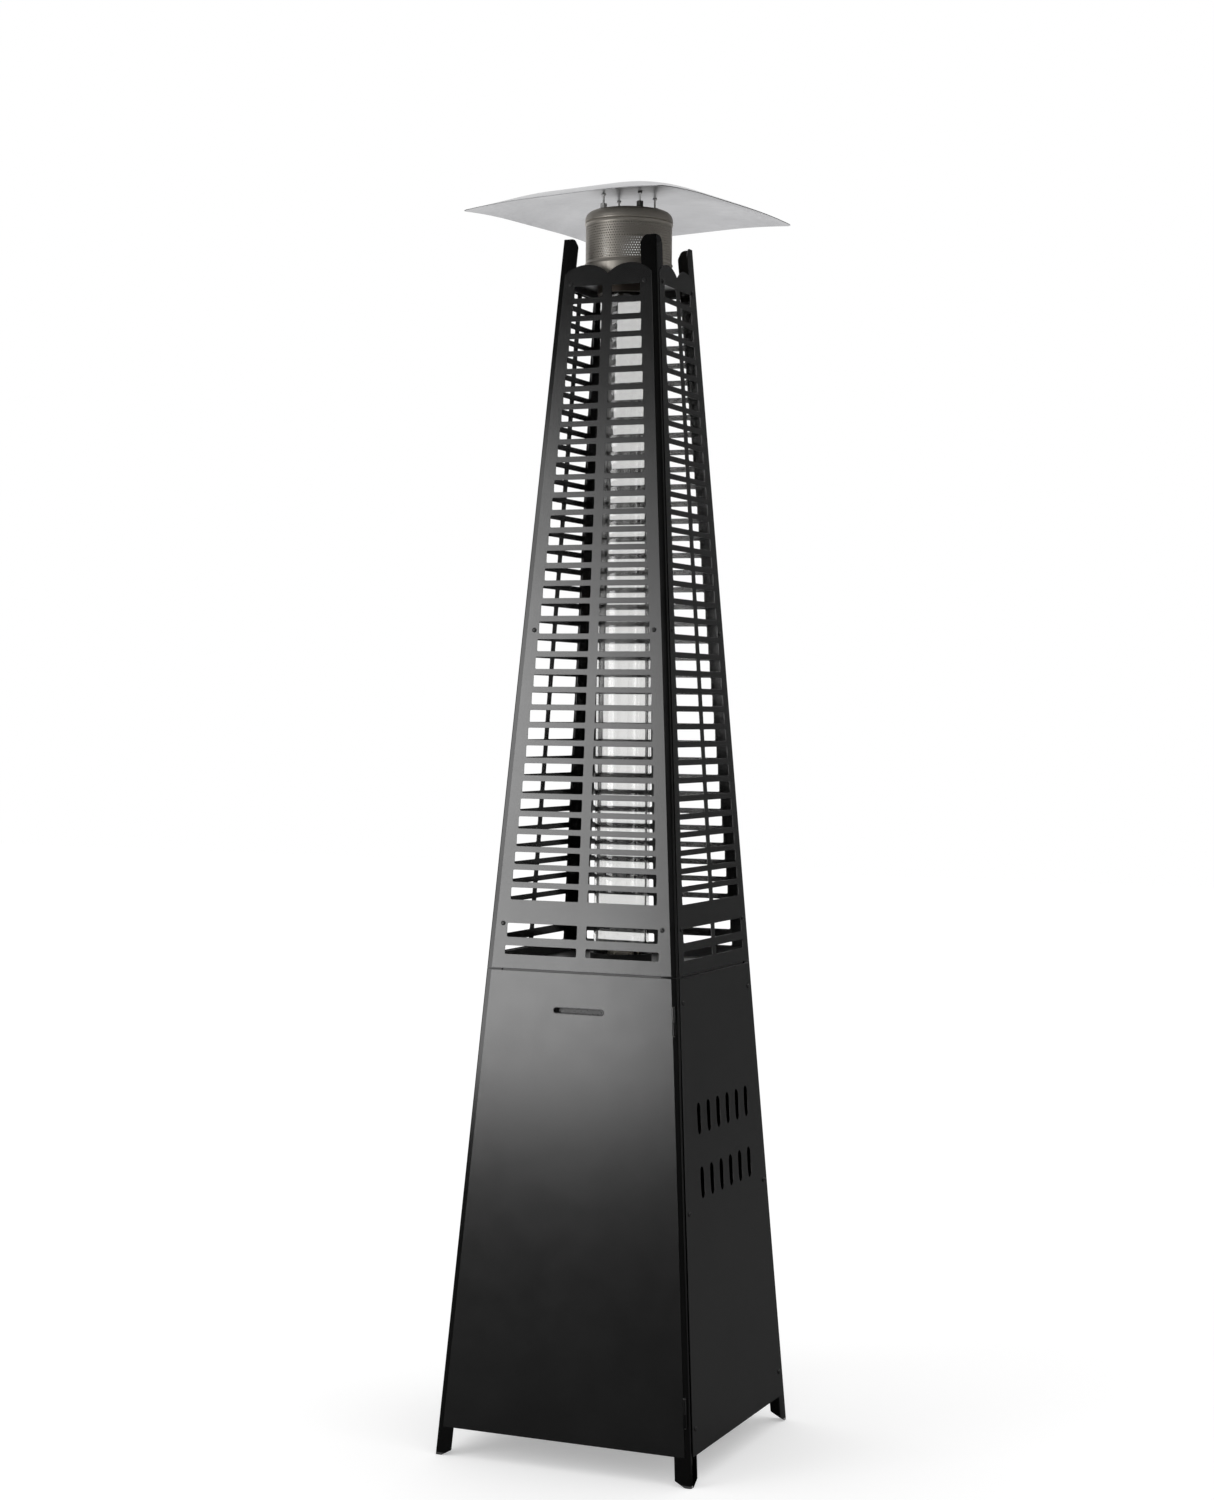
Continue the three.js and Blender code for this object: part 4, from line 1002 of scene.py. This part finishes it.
def make_reflector():
    """A thin sheet, flat in the middle and drooping to its rounded corners."""
    bm = bmesh.new()
    turn = Matrix.Rotation(REFLECTOR_TURN, 4, "Z")
    base = REFLECTOR_UNDER - REFLECTOR_DOME
    shares = [i / REFLECTOR_CELLS * 2 - 1 for i in range(REFLECTOR_CELLS + 1)]
    layers = []
    for lift in (0, REFLECTOR_SHEET):
        grid = []
        for v in shares:
            row = []
            for u in shares:
                a, b = rounded_place(u, v)
                z = base + reflector_rise(a, b) + lift
                row.append(bm.verts.new(turn @ Vector((a * REFLECTOR_HALF, b * REFLECTOR_HALF, z))))
            grid.append(row)
        layers.append(grid)
    under, over = layers
    rim = grid_faces(bm, over, under)
    bridge(bm, [under[j][i] for j, i in rim], [over[j][i] for j, i in rim])
    new_piece("reflector_sheet", bm, sheet_aluminium, stands_for=["reflector"])


# Glass tube
TUBE_LIP = TUBE_WALL * 0.3
TUBE_SIDES = 128
TUBE_WELD = 0.00001
TUBE_ANGLE = math.radians(30)


def make_tube():
    bm = bmesh.new()
    inner, outer, lip = TUBE_RADIUS - TUBE_WALL, TUBE_RADIUS, TUBE_LIP
    profile = (
        (inner, TUBE_BOTTOM + lip),
        (inner + lip, TUBE_BOTTOM),
        (outer - lip, TUBE_BOTTOM),
        (outer, TUBE_BOTTOM + lip),
        (outer, TUBE_TOP - lip),
        (outer - lip, TUBE_TOP),
        (inner + lip, TUBE_TOP),
        (inner, TUBE_TOP - lip),
        (inner, TUBE_BOTTOM + lip),
    )
    lathe(bm, profile, TUBE_SIDES)
    bmesh.ops.remove_doubles(bm, verts=bm.verts, dist=TUBE_WELD)
    new_piece("quartz_tube", bm, quartz_glass, "frame", ["glass_tube"], TUBE_ANGLE)


# Control knob and its dial, on the rear face
FLUTES = 20
FLUTE_STEPS = 6
FLUTE_DEPTH = 0.0007
SKIRT_RADIUS = KNOB_RADIUS + KNOB_SKIRT
# Radius, height and flutes' depth of the knob's rings, from its bore round its skirt to its face
KNOB_RINGS = (
    (SPINDLE_HOLE_RADIUS, SPINDLE_HOLE_END, 0),
    (SPINDLE_HOLE_RADIUS, KNOB_FOOT, 0),
    (SKIRT_RADIUS - 0.0004, KNOB_FOOT, 0),
    (SKIRT_RADIUS, KNOB_FOOT + 0.0004, 0),
    (SKIRT_RADIUS, KNOB_FOOT + 0.0022, 0),
    (SKIRT_RADIUS - 0.0006, KNOB_FOOT + 0.0029, 0),
    (KNOB_RADIUS + 0.0002, KNOB_FOOT + 0.0033, FLUTE_DEPTH),
    (KNOB_RADIUS - 0.0002, KNOB_FOOT + 0.006, FLUTE_DEPTH),
    (KNOB_RADIUS - 0.0007, KNOB_TOP - 0.003, FLUTE_DEPTH),
    (KNOB_RADIUS - 0.0012, KNOB_TOP - 0.0012, FLUTE_DEPTH * 0.6),
    (KNOB_RADIUS - 0.0024, KNOB_TOP - 0.0002, 0),
    (KNOB_RADIUS - 0.0036, KNOB_TOP, 0),
    (KNOB_RADIUS * 0.5, KNOB_TOP - 0.0006, 0),
)
GRIP_SINK = 0.004
GRIP_EASE = 0.0012
POINTER_LENGTH = 0.42
POINTER_OFFSET = 0.22
POINTER_WIDTH = 0.0012
POINTER_SINK = 0.0002
POINTER_EASE = 0.00005
PRINT_RISE = 0.0001
DIAL_RADIUS = 0.0262
DIAL_MARKS = 9
DIAL_SWEEP = math.pi
MARK_LENGTH = 0.0030
MARK_GROWTH = 0.0012
MARK_WIDTH = 0.0008
MARK_STEPS = 4
MARK_SINK = 0.00005
MARK_EASE = 0.00003


def controls_matrix():
    return face_matrix(2) @ Matrix.Translation((0, slanted(CONTROLS_AT), 0))


def fluted_ring(bm, matrix, radius, z, depth):
    ring = []
    sides = FLUTES * FLUTE_STEPS
    for i in range(sides):
        a = math.tau * i / sides
        sunk = radius - depth * (0.5 - 0.5 * math.cos(a * FLUTES)) ** 2
        ring.append(bm.verts.new(matrix @ Vector((*polar(sunk, a), z))))
    return ring


def make_knob():
    """The fluted knob with its grip bar and pointer, and the dial's marks printed on the plate."""
    matrix = controls_matrix() @ Matrix.Translation((KNOB_X, 0, 0))
    upright = matrix @ Matrix.Rotation(QUARTER, 4, "Z")
    width, length, top = KNOB_GRIP
    bm = bmesh.new()
    rings = [fluted_ring(bm, matrix, *ring) for ring in KNOB_RINGS]
    for lower, upper in zip(rings, rings[1:]):
        bridge(bm, lower, upper)
    bm.faces.new(rings[0][::-1])
    bm.faces.new(rings[-1])
    bar = stadium(length, width, 0)[::-1]
    sheet_body(bm, bar, [], KNOB_TOP - GRIP_SINK, top, GRIP_EASE, upright)
    new_piece("knob", bm, plastic, "knob", ["control_knob"])
    bm = bmesh.new()
    line = stadium(length * POINTER_LENGTH, POINTER_WIDTH, 0)[::-1]
    along = upright @ Matrix.Translation((length * POINTER_OFFSET, 0, 0))
    sheet_body(bm, line, [], top - POINTER_SINK, top + PRINT_RISE, POINTER_EASE, along)
    new_piece("knob_pointer", bm, white_paint, "knob")
    bm = bmesh.new()
    for mark in range(DIAL_MARKS):
        share = mark / (DIAL_MARKS - 1)
        a = QUARTER - DIAL_SWEEP * share
        spot = matrix @ Matrix.Rotation(a, 4, "Z") @ Matrix.Translation((DIAL_RADIUS, 0, 0))
        bar = stadium(MARK_LENGTH + MARK_GROWTH * share, MARK_WIDTH, 0, MARK_STEPS)[::-1]
        sheet_body(bm, bar, [], -MARK_SINK, PRINT_RISE, MARK_EASE, spot)
    new_piece("dial_marks", bm, white_paint)


# Screws: pan heads with a cross recess, 14 mm inside the edges of the skins
SCREW_RADIUS = 0.0042
SCREW_HEIGHT = 0.0022
SCREW_INSET = 0.014
SCREW_SIDES = 32
# Shares of the head's radius and height, from its edge to its flat crown
SCREW_RINGS = ((1, 0), (1, 0.35), (0.93, 0.62), (0.78, 0.85), (0.62, 1.0))
CROSS_HALF = 0.0005
CROSS_REACH = 0.0021
CROSS_DEPTH = 0.0012
GUARD_SCREWS = (0.941, 1.462, 2.080)
PANEL_SCREWS = (0.095, 0.455, 0.815)


def screw_head(bm, matrix):
    """A domed head whose crown holds a sunk cross."""
    w, r = CROSS_HALF, CROSS_REACH
    cross = [(w, w), (w, r), (-w, r), (-w, w), (-r, w), (-r, -w)]
    cross += [(-x, -y) for x, y in cross]
    circles = [
        [polar(SCREW_RADIUS * share, math.tau * i / SCREW_SIDES) for i in range(SCREW_SIDES)]
        for share, height in SCREW_RINGS
    ]

    def ring(places, z):
        return [bm.verts.new(matrix @ Vector((x, y, z))) for x, y in places]

    heights = [SCREW_HEIGHT * height for share, height in SCREW_RINGS]
    rings = [ring(circle, z) for circle, z in zip(circles, heights)]
    for lower, upper in zip(rings, rings[1:]):
        bridge(bm, lower, upper)
    upper = ring(cross, SCREW_HEIGHT)
    lower = ring(cross, SCREW_HEIGHT - CROSS_DEPTH)
    crown = rings[-1] + upper
    loops = [[Vector((x, y, 0)) for x, y in loop] for loop in (circles[-1], cross)]
    for a, b, c in tessellate_polygon(loops):
        bm.faces.new((crown[a], crown[b], crown[c]))
    bridge(bm, upper, lower)
    bm.faces.new(lower)
    bm.faces.new(rings[0][::-1])


def make_screws():
    for turns, side in enumerate(SIDES):
        bm = bmesh.new()
        for z in GUARD_SCREWS if side == "front" else GUARD_SCREWS + PANEL_SCREWS:
            for way in (1, -1):
                x = (half_at(z) - SKIN_MARGIN - SCREW_INSET) * way
                spot = Vector((x, slanted(z), SEAT + SHEET))
                screw_head(bm, face_matrix(turns) @ Matrix.Translation(spot))
        new_piece(f"screws_{side}", bm, screw_black)


for turns, side in enumerate(SIDES):
    make_guard(side, turns)
make_side_panel("right", 1)
make_side_panel("left", 3)
make_rear_panel()
make_door()
make_hinges()
for turns, corner in enumerate(CORNERS):
    make_post("lower", corner, turns)
    make_post("upper", corner, turns)
make_drum()
make_cap()
make_studs()
make_reflector()
make_tube()
make_knob()
make_screws()


# Camera, as fitted to the photograph
CAMERA_PLACE = (1.8344, -4.3403, 1.3178)
YAW = -0.406119
PITCH = -0.014661
ROLL = 0.0111238
FOCAL_PIXELS = 2598.695
PHOTO_HEIGHT = 1500
SENSOR = 36


def place_camera():
    data = bpy.data.cameras.new("camera")
    data.sensor_width = SENSOR
    data.lens = FOCAL_PIXELS / PHOTO_HEIGHT * SENSOR
    camera = placed("camera", data)
    level = math.cos(PITCH)
    ahead = Vector((math.sin(YAW) * level, math.cos(YAW) * level, math.sin(PITCH)))
    right = ahead.cross(Vector((0, 0, 1))).normalized()
    up = right.cross(ahead)
    tilted_right = right * math.cos(ROLL) + up * math.sin(ROLL)
    tilted_up = up * math.cos(ROLL) - right * math.sin(ROLL)
    turn = Matrix((tilted_right, tilted_up, -ahead)).transposed().to_4x4()
    camera.matrix_world = Matrix.Translation(CAMERA_PLACE) @ turn
    bpy.context.scene.camera = camera


# Studio: a white world and floor, softboxes at the front left, a small one on the right, and dark
# cards that only gloss sees
FLOOR_REACH = 16
FLOOR_TONE = 0.80
FLOOR_GLOW = 0.35
SKY_LEVEL = 0.85
BOX_DISTANCE = 4.5
BOX_CENTRE = -0.2
# Name, azimuth in degrees, width, height, middle's height and radiance
SOFTBOXES = (
    ("key_box", -34, 2.5, 1.10, 1.75, 1.9),
    ("left_box", -38, 1.9, 1.60, 2.15, 1.6),
    ("low_box", -35, 2.5, 0.62, 0.89, 3.26),
    ("top_box", -35, 2.5, 0.60, 2.60, 0.75),
    ("side_box", 75, 0.8, 1.4, 1.0, 1.3),
)
CARD_REACH = 6.5
CARD_TOP = 8.0
CARD_STEPS = 48
WALL = ((CARD_REACH, 0), (CARD_REACH, CARD_TOP))
GROUND = ((0.05, 0.004), (CARD_REACH, 0.004))
# Name, tone, azimuths in degrees, and the places that the card runs through
CARDS = (
    ("wall_card", 0.006, (-110, 100), WALL),
    ("side_wall_card", 0.10, (100, 176), WALL),
    ("front_floor_card", 0.002, (-100, 60), GROUND),
    ("side_floor_card", 0.09, (60, 176), GROUND),
)


def seen_directly(tree):
    """1 for camera, glossy and transmission rays, else 0."""
    path = tree.nodes.new("ShaderNodeLightPath")
    total = path.outputs["Is Camera Ray"]
    for name in ("Is Glossy Ray", "Is Transmission Ray"):
        add = tree.nodes.new("ShaderNodeMath")
        add.operation = "MAXIMUM"
        tree.links.new(total, add.inputs[0])
        tree.links.new(path.outputs[name], add.inputs[1])
        total = add.outputs["Value"]
    return total


def light_world():
    world = bpy.data.worlds.new("studio")
    bpy.context.scene.world = world
    world.use_nodes = True
    tree = world.node_tree
    background = tree.nodes["Background"]
    background.inputs["Color"].default_value = (1, 1, 1, 1)
    level = tree.nodes.new("ShaderNodeMapRange")
    level.inputs["To Min"].default_value = SKY_LEVEL
    level.inputs["To Max"].default_value = 1.0
    tree.links.new(seen_directly(tree), level.inputs["Value"])
    tree.links.new(level.outputs["Result"], background.inputs["Strength"])


def lay_floor():
    mesh = bpy.data.meshes.new("floor")
    corners = [(-1, -1), (1, -1), (1, 1), (-1, 1)]
    places = [(x * FLOOR_REACH, y * FLOOR_REACH, 0) for x, y in corners]
    mesh.from_pydata(places, [], [(0, 1, 2, 3)])
    made = Finish("floor")
    made.tree.nodes.remove(made.shader)
    diffuse = made.node("ShaderNodeBsdfDiffuse", Color=(FLOOR_TONE, FLOOR_TONE, FLOOR_TONE, 1))
    glow = made.node("ShaderNodeEmission")
    level = made.node("ShaderNodeMath", operation="MULTIPLY")
    level.inputs[1].default_value = FLOOR_GLOW
    both = made.node("ShaderNodeAddShader")
    made.link(seen_directly(made.tree), level.inputs[0])
    made.link(level.outputs["Value"], glow.inputs["Strength"])
    made.link(diffuse.outputs["BSDF"], both.inputs[0])
    made.link(glow.outputs["Emission"], both.inputs[1])
    made.link(both.outputs["Shader"], made.tree.nodes["Material Output"].inputs["Surface"])
    mesh.materials.append(made.material)
    floor = placed("floor", mesh)


def hang_softbox(name, azimuth, width, height, middle, radiance):
    data = bpy.data.lights.new(name, "AREA")
    data.shape = "RECTANGLE"
    data.size = width
    data.size_y = height
    data.energy = radiance * math.pi * width * height
    lamp = placed(name, data)
    turn = math.radians(azimuth)
    outward = Vector((math.sin(turn), -math.cos(turn), 0))
    lamp.location = Vector((0, BOX_CENTRE, middle)) + outward * BOX_DISTANCE
    lamp.rotation_mode = "QUATERNION"
    lamp.rotation_quaternion = outward.to_track_quat("Z", "Y")
    lamp.visible_camera = False


def stand_card(name, tone, azimuths, places):
    """A dark sheet bent round the object through (radius, height) places, seen by gloss alone."""
    bm = bmesh.new()
    rows = []
    for radius, height in places:
        row = []
        for step in range(CARD_STEPS + 1):
            a = math.radians(azimuths[0] + (azimuths[1] - azimuths[0]) * step / CARD_STEPS)
            row.append(bm.verts.new((radius * math.sin(a), -radius * math.cos(a), height)))
        rows.append(row)
    for low, high in zip(rows, rows[1:]):
        for i in range(CARD_STEPS):
            bm.faces.new((low[i], low[i + 1], high[i + 1], high[i]))
    mesh = bpy.data.meshes.new(name)
    bm.to_mesh(mesh)
    bm.free()
    mesh.materials.append(Finish(name, Base_Color=(tone, tone, tone, 1), Roughness=1).material)
    card = placed(name, mesh)
    for kind in ("camera", "diffuse", "transmission", "volume_scatter", "shadow"):
        setattr(card, f"visible_{kind}", False)


place_camera()
light_world()
lay_floor()
for box in SOFTBOXES:
    hang_softbox(*box)
for card in CARDS:
    stand_card(*card)
bpy.context.scene.view_settings.view_transform = "Standard"
